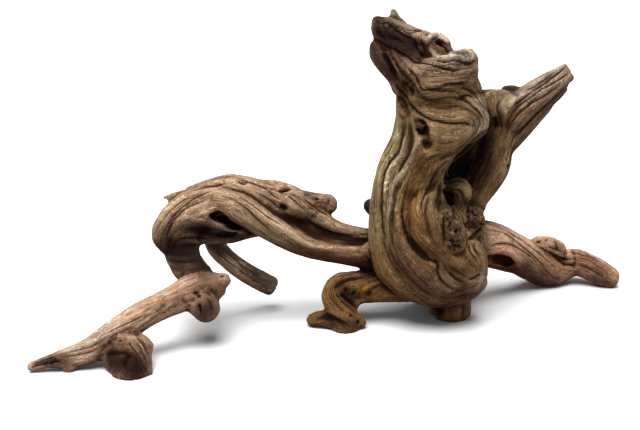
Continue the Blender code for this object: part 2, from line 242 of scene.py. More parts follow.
# %% The fine strands
SURFACE_STRANDS = {
    "neck_ring_low": [(413, 94, 0, 11), (420, 95, -12, 12), (437, 95, -20, 13), (453, 92, -17, 13),
        (467, 89, 0, 12), (468, 89, 18, 12), (458, 92, 34, 12), (438, 95, 40, 12), (418, 92, 32, 12)],
    "neck_ring_high": [(414, 79, 1, 9), (421, 79, -12, 10), (438, 75.5, -20, 11), (455, 71, -16, 10),
        (467, 69, 0, 10), (468, 70, 20, 9), (460, 73, 34, 9), (438, 76, 40, 10), (421, 76, 28, 10)],
    "jaw_ridge": [(384, 20, -6, 3), (392, 23, -10, 4), (401, 29, -13, 4.5), (411, 34, -13, 4.5),
        (421, 38, -12, 4)],
    "belly_roll": [(424, 190, -24, 7), (418, 208, -30, 10), (419, 222, -33, 12), (424, 236, -34, 13),
        (434, 247, -34, 13), (446, 256, -33, 13), (460, 261, -30, 12), (470, 266, -24, 8)],
    "knot_cushion": [(438, 196, -16, 6), (438, 208, -24, 9), (439, 222, -30, 10), (442, 236, -31, 11),
        (450, 250, -30, 12)],
    "valley_fill": [(431, 190, -22, 7), (429, 204, -28, 9), (430, 218, -32, 10.5), (434, 232, -34, 11.5),
        (442, 246, -34, 12)],
    "belly_cover": [(408, 188, -18, 13), (407, 204, -20, 16.5), (409, 220, -22, 18), (415, 236, -24, 18),
        (425, 250, -24, 18)],
    "hip_back": [(198, 218, 12, 12), (188, 224, 4, 14), (182, 236, -4, 15)],
    "wall_blend": [(305, 227, 10, 10), (288, 218, 8, 11), (272, 210, 6, 12)],
    "wall_taper": [(262, 217, 11, 12.5), (282, 221, 14, 10.5), (300, 226, 14, 10), (318, 233, 14, 9)],
    "knob_bridge": [(203, 282, -50, 12), (213, 285, -52, 11), (217, 290, -54, 8)],
    "back_seam": [(440, 128, 40, 11), (438, 142, 40, 13), (436, 157, 38, 14), (433, 172, 36, 14),
        (430, 188, 34, 14)],
    "flank_fill": [(402, 184, -22, 8), (400, 200, -25, 9), (400, 216, -27, 10), (403, 232, -29, 11),
        (411, 248, -30, 12)],
    "snout_edge": [(377, 21, -2, 5), (375, 29, -1, 4), (377, 35, -1, 4)],
}
print(len(SURFACE_STRANDS), "fine strands")

# %% The fine hollows
FINE_HOLLOWS = {
    "fold_front": [(493, 130, -8, 4), (489, 136, -16, 7.5), (480, 146, -24, 12), (468, 157, -28, 14),
        (458, 165, -28, 13), (450, 172, -24, 9.5), (447, 180, -18, 6.5)],
    "fold_depth": [(493, 134, 2, 6), (483, 146, -2, 12), (471, 157, -4, 14), (460, 165, -4, 13),
        (451, 173, -2, 10)],
    "stub_left": [(426, 320, -4, 9), (429, 325, 26, 9)],
    "stub_right": [(475, 322, 0, 7), (475, 324, 30, 7)],
    "stub_cave": [(433, 306, -6, 4), (438, 309, -5, 5.5), (440, 314, -3, 4)],
    "fold_top": [(495.5, 116, 0, 2.2), (495.5, 122, 0, 3), (491, 131, -4, 4)],
    "fold_middle": [(488, 142, -10, 7), (477, 151, -14, 9), (466, 161, -17, 11), (459, 169, -18, 11),
        (452, 177, -17, 8.5)],
    "above_lump": [(469, 164, -1, 9), (461, 171, -2, 8), (452, 176, -5, 6)],
    "knot_caves": [(451, 207, -44, 3), (455, 214, -43, 4.2), (457, 222, -43, 3.4)],
    "knot_cave_low": [(451, 240, -46, 2.6), (457, 246, -46, 3.2)],
    "side_knot_cave": [(472, 212, -15, 3), (479, 216, -16, 3.4), (482, 224, -16, 3)],
    "cave_mouth": [(486, 262, 30, 7), (498, 265, 38, 9), (508, 267, 48, 7)],
    "knob_face": [(110, 365, -141, 8), (122, 366, -147, 14), (132, 371, -148, 12)],
    "knob_left": [(99, 372, -120, 7), (103, 380, -120, 9)],
    "branch_notch": [(578, 71, 42, 3), (570, 74, 42, 2.4)],
    "branch_notch_low": [(573, 86, 42, 3.4), (565, 85, 42, 2.4)],
    "upper_hole": [(414, 119, -36, 3), (416.5, 122, -34, 6), (419.5, 127, -32, 7.5), (423.5, 131, -34, 6),
        (426, 135, -36, 3)],
    "lower_hole": [(424, 142, -38, 3.6), (427, 144.5, -37, 6), (431, 145, -40, 3)],
    "left_corner": [(442, 191, -12, 3), (441, 198, -12, 5.5), (442, 204, -10, 5)],
    "right_corner": [(471, 193, -2, 3), (473, 199, 4, 6.5), (477, 204, 6, 5.5)],
    "slot": [(430, 39, -20, 3), (434, 45, -22, 5.2), (440, 51, -20, 5.2), (446, 55, -18, 3)],
    "slot_top": [(434, 38, -18, 2.6), (440, 41, -18, 4), (446, 47, -16, 4), (449, 52, -14, 2.4)],
    "shard_gap": [(384, 54, -12, 2), (389, 63, -14, 2.6), (395, 74, -12, 2.2)],
}
print(len(FINE_HOLLOWS), "fine hollows")

# %% The strands inside the hollows, which join the wood once those are cut
LATE_STRANDS = {
    "under_jaw": [(380, 33, 0, 7), (391, 40, -4, 10), (403, 46, -7, 11), (414, 52, -9, 9)],
    "slot_plank": [(432, 43, -14, 1.8), (439, 49, -15.5, 2.3), (446, 56, -14, 1.9)],
    "slot_splinter": [(440, 40, -8, 1.7), (445.5, 46, -10, 2.3), (449, 53, -9, 1.7)],
    "slot_brow": [(428, 41, -15, 2), (430, 36, -15, 2.2), (435, 33.5, -13, 2.4), (441, 35, -10, 2.4),
        (446, 40, -6, 2)],
    "horn_skin": [(393.5, 12.5, 1, 4.2), (396, 18, 2, 4.8), (402, 26, 2, 6)],
    "knob_corner": [(147, 350, -112, 4.5), (147.5, 361, -118, 5.5), (147, 371, -121, 6.5)],
    "hole_ball": [(419.5, 127, -30, 2.8), (421.5, 127.5, -31, 2.8)],
    "inner_lump_skin": [(447, 186, -6, 6.5), (453, 185, -6, 9), (460, 187, -5, 9.5), (463, 194, -6, 8.5),
        (461, 202, -8, 7.5), (460, 210, -12, 7), (461, 220, -16, 6)],
    "knob_fill": [(122, 362, -124, 9), (131, 356, -123, 8), (133, 366, -127, 9)],
}
print(len(LATE_STRANDS), "strands inside the hollows")

# %% [markdown]
# A path through a strand's stations must not kink, so it is a Catmull-Rom spline: between two stations it
# is the cubic that leaves each of them in the direction of its neighbours. A Bezier curve object would do
# too, but arrays keep the path at hand, and the direction of the grain comes from it later.

# %% A path through stations
POINTS_A_STEP = 5   # points of the path from one station to the next


def spline(stations, steps=POINTS_A_STEP):
    """Catmull-Rom through the rows of `stations`, any number of columns.

    Between stations p and q, with b before and a after, the point at t is half of
    2p + (q - b)t + (2b - 5p + 4q - a)t^2 + (3p - b - 3q + a)t^3.
    """
    row = np.vstack([stations[:1], stations, stations[-1:]])
    b, p, q, a = row[:-3, None], row[1:-2, None], row[2:-1, None], row[3:, None]
    t = (np.arange(steps) / steps)[None, :, None]
    curve = 0.5 * (2 * p + (q - b) * t + (2 * b - 5 * p + 4 * q - a) * t**2 + (3 * p - b - 3 * q + a) * t**3)
    return np.vstack([curve.reshape(-1, stations.shape[1]), stations[-1:]])


def strand_path(rows, allowance):
    """A strand's path as rows (x, y, z, radius) in millimetres, from its rows on the front view."""
    rows = np.array(rows, float)
    place, share = seen(rows)
    return spline(np.column_stack([place, rows[:, 3] * share + allowance]))


shin = strand_path(LEG["shin"], 0)
print("the shin's path has", len(shin), "points, and its radius runs from",
      shin[:, 3].max().round(1), "down to", shin[:, 3].min().round(1), "mm")

# %% [markdown]
# Each strand is a tube: a ring carried along the path. A root's ring is never quite round, but its flutes
# come later, after the strands have fused, so that they can run from one strand to the next. Both ends are
# half balls, apart from one stick that somebody has sawn off. Every tube is closed, because the next step
# has to know inside from outside. A curve with a bevel would give the tubes too, with flat ends.

# %% A closed tube along a path
SIDES = 28      # corners of a ring
ROUNDING = np.array([0.3, 0.55, 0.77, 0.93])    # where an end's rings lie, as shares of the radius beyond it
HELPERS = np.array([v for v in itertools.product((-1, 0, 1), repeat=3) if any(v)], float)
HELPERS /= np.linalg.norm(HELPERS, axis=1)[:, None]
SLIGHT = 1e-12      # keeps a division from being by nothing


def unit(vectors):
    """The rows of `vectors`, each made one long."""
    return vectors / (np.linalg.norm(vectors, axis=-1, keepdims=True) + SLIGHT)


def tube(path, sawn=False):
    """Points and faces of a tube: the grid (s, angle) -> path(s) + radius(s) (cos a * side + sin a * lift).

    The side is square to the path and to the fixed direction that the path turns towards least. A half
    ball ends it: at a share u of the radius beyond the end, the ring has the radius times sqrt(1 - u^2).
    """
    def cap(end, inner):
        outward = unit(end[:3] - inner[:3]) * end[3]
        return np.column_stack([end[:3] + ROUNDING[:, None] * outward, end[3] * np.sqrt(1 - ROUNDING**2)])

    first, last = cap(path[0], path[1]), cap(path[-1], path[-2])
    poles = [path[0, :3] + unit(path[0, :3] - path[1, :3]) * path[0, 3],
             path[-1, :3] + unit(path[-1, :3] - path[-2, :3]) * path[-1, 3] * (not sawn)]
    path = np.vstack([first[::-1], path] + ([] if sawn else [last]))
    along = unit(np.gradient(path[:, :3], axis=0))
    helper = HELPERS[np.abs(along @ HELPERS.T).max(0).argmin()]
    side = unit(np.cross(along, helper))
    lift = np.cross(along, side)
    angle = np.linspace(0, 2 * np.pi, SIDES, endpoint=False)[None, :, None]
    ring = np.cos(angle) * side[:, None] + np.sin(angle) * lift[:, None]
    points = path[:, None, :3] + path[:, None, 3:] * ring
    rings = len(path)
    at = np.arange(rings * SIDES).reshape(rings, SIDES)
    nxt = np.roll(at, -1, 1)
    quads = np.stack([at[:-1], nxt[:-1], nxt[1:], at[1:]], -1).reshape(-1, 4)
    start, end = rings * SIDES, rings * SIDES + 1
    fans = np.concatenate([
        np.stack([nxt[0], at[0], np.full(SIDES, start)], -1),
        np.stack([at[-1], nxt[-1], np.full(SIDES, end)], -1),
    ])
    return np.vstack([points.reshape(-1, 3), poles]), quads, fans


print("the shin's tube has", len(tube(shin)[1]), "quads and", len(tube(shin)[2]), "end triangles")

# %% Bundles of tubes
SKIN_ALLOWANCE = 0.7    # mm added to every radius, for the carving to take off


def bundle(name, strands, allowance=SKIN_ALLOWANCE):
    """One mesh object that holds the tube of every strand."""
    points, faces, start = [], [], 0
    for title, rows in strands.items():
        place, quads, fans = tube(strand_path(rows, allowance), title in SAWN)
        points.append(place)
        faces += (quads + start).tolist() + (fans + start).tolist()
        start += len(place)
    mesh = bpy.data.meshes.new(name)
    mesh.from_pydata(np.vstack(points) * MM, [], faces)
    thing = bpy.data.objects.new(name, mesh)
    bpy.context.scene.collection.objects.link(thing)
    print(name, "holds", len(strands), "tubes of", len(faces), "faces")
    return thing


STRANDS = {title: rows for group in STRAND_GROUPS for title, rows in group.items()}
fused = bundle("fused", {**STRANDS, **SURFACE_STRANDS})
hollows = bundle("hollows", {**HOLLOWS, **FINE_HOLLOWS})
late = bundle("late_strands", LATE_STRANDS, 0)

# %% [markdown]
# Where roots touch they grow together under one skin. A voxel remesh does just that to overlapping tubes,
# which a Boolean of seventy tubes would do slowly and with slivers. The hollows are wrapped the same way and
# cut out, and a last remesh leaves an even net of small quads that is fine enough to carve.

# %% Helpers for fusing
FUSING_SIZE = 1.9   # mm
NET_SIZE = 1.87     # mm, the finest that keeps the skin under 200,000 triangles


def wrap(thing, name, size):
    """Wraps everything that overlaps in one closed, even skin."""
    skin = thing.modifiers.new(name, "REMESH")
    skin.mode = "VOXEL"
    skin.voxel_size = size * MM


def finished(thing):
    """The object's mesh with its modifiers applied."""
    graph = bpy.context.evaluated_depsgraph_get()
    return bpy.data.meshes.new_from_object(thing.evaluated_get(graph))


def ground_block(size=1.0):
    """A cube of that size under the ground: corner (i, j, k) is at size * (i - 1/2, j - 1/2, k - 1)."""
    corners = np.array(list(itertools.product((0, 1), repeat=3)), float) - (0.5, 0.5, 1)
    faces = [(0, 1, 3, 2), (4, 6, 7, 5), (0, 4, 5, 1), (2, 3, 7, 6), (0, 2, 6, 4), (1, 5, 7, 3)]
    mesh = bpy.data.meshes.new("ground_block")
    mesh.from_pydata(corners * size, [], faces)
    block = bpy.data.objects.new("ground_block", mesh)
    bpy.context.scene.collection.objects.link(block)
    return block


ground = ground_block()
print("the ground block reaches up to", max(corner[2] for corner in ground.bound_box), "m")

# %% Fusing, and cutting the hollows
wrap(hollows, "fused_hollows", FUSING_SIZE)
wrap(late, "fused_late_strands", FUSING_SIZE / 2)
wrap(fused, "fused_strands", FUSING_SIZE)
for title, operation, other in (("hollows", "DIFFERENCE", hollows), ("late_strands", "UNION", late),
                                ("flat_feet", "DIFFERENCE", ground)):
    joint = fused.modifiers.new(title, "BOOLEAN")
    joint.operation, joint.solver, joint.object = operation, "MANIFOLD", other
wrap(fused, "even_net", NET_SIZE)
net = finished(fused)
for used_up in (fused, hollows, late, ground):
    bpy.data.objects.remove(used_up)
print("the net has", len(net.vertices), "points")

# %% [markdown]
# From here the wood is carved by moving the points of that net, all of them at once. A displacement
# modifier could move them by a texture, but not along a line. Two things are needed each time: the normal,
# which says which way is out, and the mean of a point's neighbours, which smooths. A shape that is only
# smoothed shrinks, so each pass towards the mean is followed by one a little further away from it.

# %% Arrays of the net
def read(data, name, width, kind=float):
    """One property of every element as an array."""
    values = np.empty(len(data) * width, kind)
    data.foreach_get(name, values)
    return values.reshape(-1, width) if width > 1 else values


points = read(net.vertices, "co", 3) / MM
net.calc_loop_triangles()
triangles = read(net.loop_triangles, "vertices", 3, np.int32)
edges = read(net.edges, "vertices", 2, np.int32)
COUNT = len(points)
print(COUNT, "points and", len(triangles), "triangles, each edge about",
      round(float(np.linalg.norm(points[edges[:, 0]] - points[edges[:, 1]], axis=1).mean()), 2), "mm")

# %% Outwards, and smooth
NEAR = np.concatenate([edges[:, 0], edges[:, 1]])
FAR = np.concatenate([edges[:, 1], edges[:, 0]])
ORDER = np.argsort(NEAR, kind="stable")
NEAR, FAR = NEAR[ORDER], FAR[ORDER]
DEGREE = np.bincount(NEAR, minlength=COUNT)


def normals_of(place):
    """The direction that is outwards at each point: the sum of its triangles' cross products, made one long."""
    a, b, c = (place[triangles[:, k]] for k in range(3))
    across = np.cross(b - a, c - a)
    total = np.stack([
        np.bincount(triangles.ravel(), weights=np.repeat(across[:, k], 3), minlength=COUNT) for k in range(3)
    ], 1)
    return unit(total)


def spread(values, passes, share=1.0):
    """Moves each value towards the mean of its neighbours' by `share`, as many times as `passes` says."""
    values = np.array(values, float)
    flat = values.reshape(COUNT, -1)
    for _ in range(passes):
        for column in range(flat.shape[1]):
            mean = np.bincount(NEAR, weights=flat[FAR, column], minlength=COUNT) / DEGREE
            flat[:, column] += share * (mean - flat[:, column])
    return values


print("a point has", DEGREE.min(), "to", DEGREE.max(), "neighbours")

# %% A first softening
SOFTENING_PASSES = 3
FORWARDS, BACKWARDS = 0.5, -0.53
before = points
for _ in range(SOFTENING_PASSES):
    points = spread(spread(points, 1, FORWARDS), 1, BACKWARDS)
normals = normals_of(points)
print("softening moved the points by", np.linalg.norm(points - before, axis=1).mean().round(2), "mm on average")

# %% [markdown]
# Everything a root shows follows its grain: flutes, cracks, colour. So the grain needs a direction at each
# point of the skin. It comes from the strands whose own skin passes closest, and near a drawn line it
# comes from that line. A direction here has no front or back, and two that point opposite ways must not
# cancel, so each is kept as the table of its products with itself, which can be added and averaged. The
# direction that such a table stands for is its longest axis.

# %% Directions without a front or back
PAIRS = ((0, 0), (1, 1), (2, 2), (0, 1), (0, 2), (1, 2))
SQUARE = [0, 3, 4, 3, 1, 5, 4, 5, 2]    # where each product stands in a square table, row by row


def tables_of(directions):
    """The six products of each direction's parts with each other."""
    return np.stack([directions[:, i] * directions[:, j] for i, j in PAIRS], 1)


def longest_axis(squares):
    """The direction that each square table stands for: the eigenvector of its greatest eigenvalue."""
    return np.linalg.eigh(squares)[1][:, :, 2]


slant = unit(np.array([[1.0, 2.0, 0.0]]))
print("there and back give one table:", np.allclose(tables_of(slant), tables_of(-slant)))

# %% Distances between many points
AT_ONCE = 6000      # rows of points


def in_batches(work, rows):
    """Runs `work` on a few thousand rows at a time, so that the arrays of distances stay small."""
    return np.concatenate([work(rows[at:at + AT_ONCE]) for at in range(0, len(rows), AT_ONCE)])


def distances(a, b):
    """How far each row of a is from each row of b: the root of |a|^2 + |b|^2 - 2 a.b."""
    square = (a * a).sum(1)[:, None] + (b * b).sum(1)[None] - 2 * a @ b.T
    return np.sqrt(np.maximum(square, 0))


print("from 0, 0, 0 to 3, 4, 0:", float(distances(np.zeros((1, 3)), np.array([[3.0, 4, 0]]))[0, 0]))

# %% What the strands carry
paths = {title: strand_path(rows, SKIN_ALLOWANCE) for title, rows in STRANDS.items()}
path_points = np.vstack([path[:, :3] for path in paths.values()])
path_radii = np.concatenate([path[:, 3] for path in paths.values()])
path_tables = np.vstack([tables_of(unit(np.gradient(path[:, :3], axis=0))) for path in paths.values()])
GROUPS = dict(zip(("trunk", "head", "branch", "arch", "leg", "curl", "limb"), STRAND_GROUPS))
path_groups = np.concatenate([
    np.tile([title in group for group in GROUPS.values()], (len(path), 1)) for title, path in paths.items()
]).astype(float)
carried = np.hstack([path_tables, path_groups, path_radii[:, None]])
print(len(path_points), "path points carry a direction,", len(GROUPS), "groups and a radius each")

# %% Which strands pass by each point
LEAST_REACH, REACH_BY_RADIUS = 1.5, 0.3     # in mm, and for each mm of a strand's radius
GROUP_BLENDING = 6      # passes
TINY = 1e-9     # a weight that keeps far points from having none


def from_strands(place):
    """What the strands say at each point, weighed by how near a strand's skin passes: exp(-(gap / reach)^2)."""
    gap = distances(place, path_points) - path_radii
    weight = np.exp(-((gap / (LEAST_REACH + REACH_BY_RADIUS * path_radii)) ** 2)) + TINY
    return weight @ carried / weight.sum(1, keepdims=True)


said = in_batches(from_strands, points)
grain_tables, belongs, thickness = said[:, :6], said[:, 6:-1], said[:, -1]
member = dict(zip(GROUPS, spread(belongs, GROUP_BLENDING).T))
print({title: int((share > 0.5).sum()) for title, share in member.items()}, "points on each group of strands")

# %% [markdown]
# The lines that the eye picks out are the real wood's cracks, folds and rolled edges. Sculpting by hand
# could add them, but a script can't repeat it, and noise can't place them. So they are drawn on the front
# view, and dropped on the skin along the line of sight. Lines for the back are drawn on a plan of the back
# wall, and those for the top on a plan of the ground.
#
# A row is (name, half width, height, dark, places). A height below nothing cuts a groove, one above raises a
# ridge, and `dark` says how much shade and dirt it holds.

# %% Lines on the trunk
FRONT_LINES = [
    ("long_groove", 1.7, -2.2, 0.9, [(403, 129), (401.5, 140), (399.5, 149), (397, 154), (391, 160.5),
        (388, 166), (385, 171), (383.5, 177), (382, 186), (381.5, 200), (381.5, 214), (383, 228), (385, 236)]),
    ("valley", 5, -2.5, 0, [(409, 122), (409.5, 134), (409, 146), (407, 156), (403, 165), (399, 173)]),
    ("valley_crack", 1.5, -1.6, 0.8, [(411, 148), (407, 157), (402, 166), (398.5, 174)]),
    ("bright_ridge", 3, 2.2, 0, [(417, 140), (414, 150), (408.5, 160), (403, 170), (397, 179), (393, 186),
        (391, 195), (389.5, 205), (388.5, 215), (387, 224), (386, 234)]),
    ("flank_ridge", 2.6, 1.3, 0, [(403, 138), (400.5, 150), (396, 160), (389.5, 170), (386.5, 180),
        (385, 195), (385.5, 208)]),
    ("flank_trough", 4, -0.6, 0, [(402, 181), (397, 190), (394, 205), (393, 222), (392, 240), (396, 256)]),
    ("edge_groove", 1.3, -1.0, 0.4, [(394, 141), (390, 148), (385, 158), (380, 168)]),
    ("long_crack", 1.4, -1.4, 0.8, [(437, 171), (432, 181), (429, 188), (425, 195), (422, 202), (421, 212)]),
    ("main_crack", 2.1, -3.4, 1, [(402, 207), (401.5, 215), (402.5, 224), (405, 232), (408, 238),
        (411.5, 243), (416, 249), (421, 254.5), (426, 258.5), (431, 260.5), (436, 262.5), (438, 267),
        (437.5, 272), (440, 278), (444, 283), (449, 287), (453, 288.5)]),
    ("main_crack_mouth", 3.6, -6, 1, [(406, 235), (410, 241.5), (415, 248), (420, 253), (427, 258),
        (432, 261)]),
    ("lip_crease", 1.5, -1.6, 0.8, [(449, 272), (453, 276), (458, 280), (463, 281)]),
    ("lip_crease", 1.5, -1.6, 0.8, [(469, 280), (475, 278), (481, 274.5)]),
    ("belly_line", 1.4, -1, 0.5, [(470, 243), (470, 250), (475, 257), (478, 259)]),
    ("belly_line", 1.3, -0.8, 0.4, [(475, 240), (475, 248), (480, 254), (484, 256)]),
    ("low_line", 1.4, -1, 0.5, [(437, 296), (450, 298), (463, 296), (474, 291)]),
    ("low_line", 1.4, -0.9, 0.4, [(447, 293), (460, 291), (472, 287), (481, 282)]),
    ("fold_edge", 2.2, 1.2, 0, [(487, 131), (484, 136), (478, 141), (471, 147), (464, 153), (455, 159),
        (447, 165), (441, 171), (439, 180), (437, 190), (434, 200)]),
]
print(len(FRONT_LINES), "lines on the trunk")

# %% [markdown]
# These rows have no height and no dark. They cut nothing, and only say which way the grain runs over the
# trunk, where it swings from strand to strand round the fold and the belly.

# %% The flow of the grain over the trunk
FLOW = [
    [(415, 122), (425, 131), (440, 137), (455, 139), (468, 136), (477, 129)],
    [(425, 148), (440, 151), (455, 149), (468, 142)],
    [(418, 162), (430, 161), (444, 158), (456, 154)],
    [(423, 155), (415, 172), (409, 192), (406, 214), (408, 230), (417, 245), (432, 254)],
    [(432, 168), (424, 188), (416, 204), (414, 222), (420, 237), (432, 248), (446, 256)],
    [(437, 180), (430, 196), (427, 210), (428, 226), (434, 241), (446, 253), (460, 260)],
    [(397, 215), (397, 232), (403, 248), (414, 262), (427, 272), (440, 284), (455, 293),
        (471, 291), (481, 284)],
    [(390, 226), (391, 246), (399, 264), (412, 280), (430, 292), (452, 299), (470, 297)],
    [(378, 226), (379, 250), (385, 268), (397, 284), (412, 294)],
    [(484, 242), (486, 256), (486, 268), (482, 280)],
    [(500, 140), (497, 156), (490, 174), (481, 190)],
    [(509, 140), (505, 152), (500, 170), (491, 184)],
]
FRONT_LINES += [("flow", 3, 0, 0, places) for places in FLOW]
print(len(FRONT_LINES), "lines with the flow")

# %% [markdown]
# A knot is what is left of a side root. The wood grew round it in rims, and what it enclosed has rotted out
# in pits. Pits as small as these could be one noise, but the real ones lie in the places listed.

# %% Lines on the crumbling knots
FRONT_LINES += [
    ("knot_seam", 2, -2.5, 0.8, [(444, 213), (444, 225), (445, 238), (443, 246)]),
    ("knot_rim", 1.6, 1.3, 0, [(447, 205), (454, 208), (459, 215), (462, 224), (464, 235), (464.5, 245),
        (460, 250.5), (452, 251.5), (446, 248)]),
    ("knot_hole", 3.4, -4, 1, [(451, 210), (455, 214), (458, 220)]),
    ("knot_hole", 2.6, -3, 0.9, [(450, 221), (450, 228)]),
    ("knot_hole", 3, -3.5, 0.9, [(456, 228), (458, 234)]),
    ("knot_hole", 2.6, -3, 0.9, [(450, 238), (454, 245), (459, 247)]),
    ("knot_hole", 2.6, -3, 0.9, [(471, 212), (478, 215)]),
    ("knot_hole", 2.6, -3, 0.9, [(472, 221), (474, 228)]),
    ("knot_hole", 3, -3.5, 1, [(481, 221), (482, 226)]),
    ("knot_gap", 2.5, -4.5, 1, [(486, 224), (480, 231), (475, 236), (468, 239)]),
    ("knot_rim", 1.6, 1.3, 0, [(466, 209), (475, 208), (481, 210), (485, 218)]),
    ("lump_line", 1.5, -1.2, 0.5, [(447, 186), (454, 181), (462, 181), (468, 187)]),
    ("lump_line", 1.4, -1, 0.5, [(446, 195), (454, 190), (461, 193), (464, 200)]),
]
print(len(FRONT_LINES), "lines with the knots")

# %% Lines on the shoulder and the collar
FRONT_LINES += [
    ("collar", 1.9, -2.2, 0.9, [(408, 101), (414, 109), (421, 115), (429, 119), (440, 121.7), (451, 123.4),
        (462, 123), (468, 124), (471, 127), (472, 131)]),
    ("collar_fork", 1.4, -1.5, 0.8, [(471, 126), (475, 124.5)]),
    ("shoulder_line", 1.5, -1.3, 0.6, [(455, 91), (462, 96), (470.7, 103.5), (478, 110.7), (484, 117)]),
    ("shoulder_line", 1.5, -1.3, 0.6, [(453, 97), (463, 100), (472, 105), (479, 112), (484, 120)]),
    ("shoulder_line", 1.4, -1, 0.5, [(467, 87), (476, 94), (480, 102), (486, 109), (491, 117)]),
    ("shoulder_line", 1.4, -0.9, 0.4, [(458, 109), (468, 110), (476, 115), (480, 122), (478, 131), (472, 140),
        (463, 149), (452, 156)]),
    ("shoulder_line", 1.4, -0.9, 0.4, [(463, 117), (472, 119.5), (476, 126), (473, 135), (466, 143),
        (456, 150)]),
    ("pocket", 2.5, -5, 1, [(494, 117), (496, 122), (495, 128)]),
    ("branch_root_line", 1.5, -1.3, 0.6, [(501, 99), (498, 107), (499, 116), (502, 126), (500, 138)]),
    ("hole_shade", 2.4, -1, 0.9, [(414, 119), (416, 123)]),
    ("hole_shade", 2.4, -1, 0.9, [(418, 132.5), (426, 132)]),
    ("hole_shade", 2.4, -1, 0.9, [(425, 143), (429, 145)]),
    ("small_knob", 3.6, 3.5, 0.3, [(403, 112), (405, 114)]),
    ("pit", 1.8, -2, 0.9, [(401.5, 114)]),
]
print(len(FRONT_LINES), "lines with the shoulder")

# %% Lines on the neck and the head
FRONT_LINES += [
    ("mouth_crack", 1.8, -2.8, 1, [(406, 55), (412, 59.5), (417, 62), (425, 62.8), (432, 65), (442, 68),
        (453.6, 70), (462, 70)]),
    ("wrinkle", 1.5, -1.3, 0.6, [(426, 59), (436, 60.5), (446, 63), (457, 65), (470, 63)]),
    ("rim_shade", 2.4, -2, 0.4, [(434, 57), (445, 61), (457, 60), (468, 63.5), (475, 60)]),
    ("rim_edge", 2.2, 1.8, 0, [(430, 50), (434, 54), (443, 57.5), (453, 56), (464, 59), (471, 60), (475, 55)]),
    ("wrinkle", 1.5, -1.6, 0.7, [(415, 79), (419, 87), (423, 90.7), (431, 90), (439, 89), (446, 85.5),
        (458, 84), (471, 82)]),
    ("wrinkle", 1.3, -0.9, 0.5, [(421, 73), (432, 76), (445, 76), (460, 75), (475, 73)]),
    ("wrinkle", 1.3, -0.9, 0.4, [(424, 82), (436, 82), (448, 80), (462, 79), (475, 79)]),
    ("wrinkle", 1.3, -0.8, 0.4, [(416, 96), (426, 101), (440, 103), (452, 102)]),
    ("wrinkle", 1.3, -0.7, 0.3, [(414, 102), (424, 109), (438, 113), (454, 113)]),
    ("wrinkle", 1.3, -0.9, 0.5, [(424, 68), (436, 71), (448, 73), (462, 73)]),
    ("wrinkle", 1.3, -0.7, 0.4, [(455, 67), (464, 68.5), (475, 66)]),
    ("wrinkle", 1.3, -0.8, 0.5, [(452, 77), (463, 78), (475, 76)]),
    ("wrinkle", 1.3, -1.0, 0.6, [(440, 84), (452, 84), (464, 82), (474, 79)]),
    ("wrinkle", 1.4, -1.2, 0.7, [(425, 91), (436, 91.5), (446, 91), (456, 91)]),
    ("wrinkle", 1.3, -1.0, 0.6, [(461, 88), (468, 90), (475, 95), (480, 101)]),
    ("wrinkle", 1.3, -1.0, 0.6, [(456, 100), (463, 97), (470, 95), (477, 99)]),
    ("wrinkle", 1.3, -0.8, 0.5, [(420, 98), (432, 100), (446, 98), (458, 96)]),
    ("wrinkle", 1.3, -0.7, 0.4, [(412, 107), (422, 113), (436, 116), (452, 117), (466, 117)]),
    ("wrinkle", 1.3, -0.7, 0.4, [(430, 108), (446, 108), (460, 106), (472, 110)]),
    ("wrinkle", 1.3, -0.7, 0.4, [(414, 87), (420, 95), (428, 97)]),
    ("flow", 3, 0, 0, [(421, 68), (440, 72), (458, 74), (475, 68)]),
    ("flow", 3, 0, 0, [(420, 93), (435, 96), (450, 94), (466, 94), (478, 99)]),
    ("lobe_crease", 1.9, -2.2, 0.9, [(396, 85), (399.5, 91), (404, 95.5), (409, 100)]),
    ("shard_gap", 1.8, -2, 0.9, [(384, 52), (388, 61), (393, 71), (397, 80)]),
    ("pit", 1.5, -2, 1, [(397, 86)]),
    ("shard_line", 1.5, -2, 0.9, [(388, 50), (398, 65), (408, 79), (417, 91)]),
    ("shard_line", 1.3, -1.4, 0.7, [(391, 57), (399, 70), (406, 83)]),
    ("shard_line", 1.3, -1.3, 0.7, [(408, 68), (416, 77), (419, 86)]),
    ("shard_line", 1.3, -1.3, 0.7, [(400, 77), (405, 87), (413, 95)]),
    ("shard_ridge", 1.5, 1.3, 0, [(391, 51), (401, 64), (411, 77), (417, 86)]),
    ("ragged_hollow", 7, -3, 0.3, [(402, 82), (408, 89), (413, 94)]),
    ("jaw_layer", 1.5, -1.8, 0.8, [(390, 21), (397, 27), (405, 31.5), (412, 33), (420, 31)]),
    ("jaw_layer", 1.4, -1.5, 0.7, [(398, 24), (406, 28.5), (414, 30), (423, 29.5)]),
    ("jaw_layer", 1.6, -2, 0.9, [(386, 22), (393, 28), (401, 34), (410, 38), (416, 40)]),
    ("jaw_layer", 1.3, -1, 0.5, [(380, 22), (386, 32), (397, 40), (408, 45)]),
    ("jaw_layer", 1.3, -1, 0.5, [(377, 30), (386, 41), (398, 48), (410, 51)]),
    ("jaw_layer", 1.3, -1, 0.6, [(376, 20), (380, 24), (388, 22)]),
    ("lip", 1.7, -2.2, 0.9, [(371, 39), (378, 41), (386, 46), (394, 50), (402, 54), (408, 57)]),
    ("cheek_edge", 1.6, -1.8, 0.8, [(414, 38), (416, 45), (420, 52), (423, 58)]),
    ("cheek_line", 1.3, -1, 0.5, [(421, 34), (422, 44), (426, 52)]),
    ("slot_rim", 1.8, 1.4, 0, [(428, 42), (430, 36), (436, 33.5), (442, 36.5)]),
]
print(len(FRONT_LINES), "lines with the head")

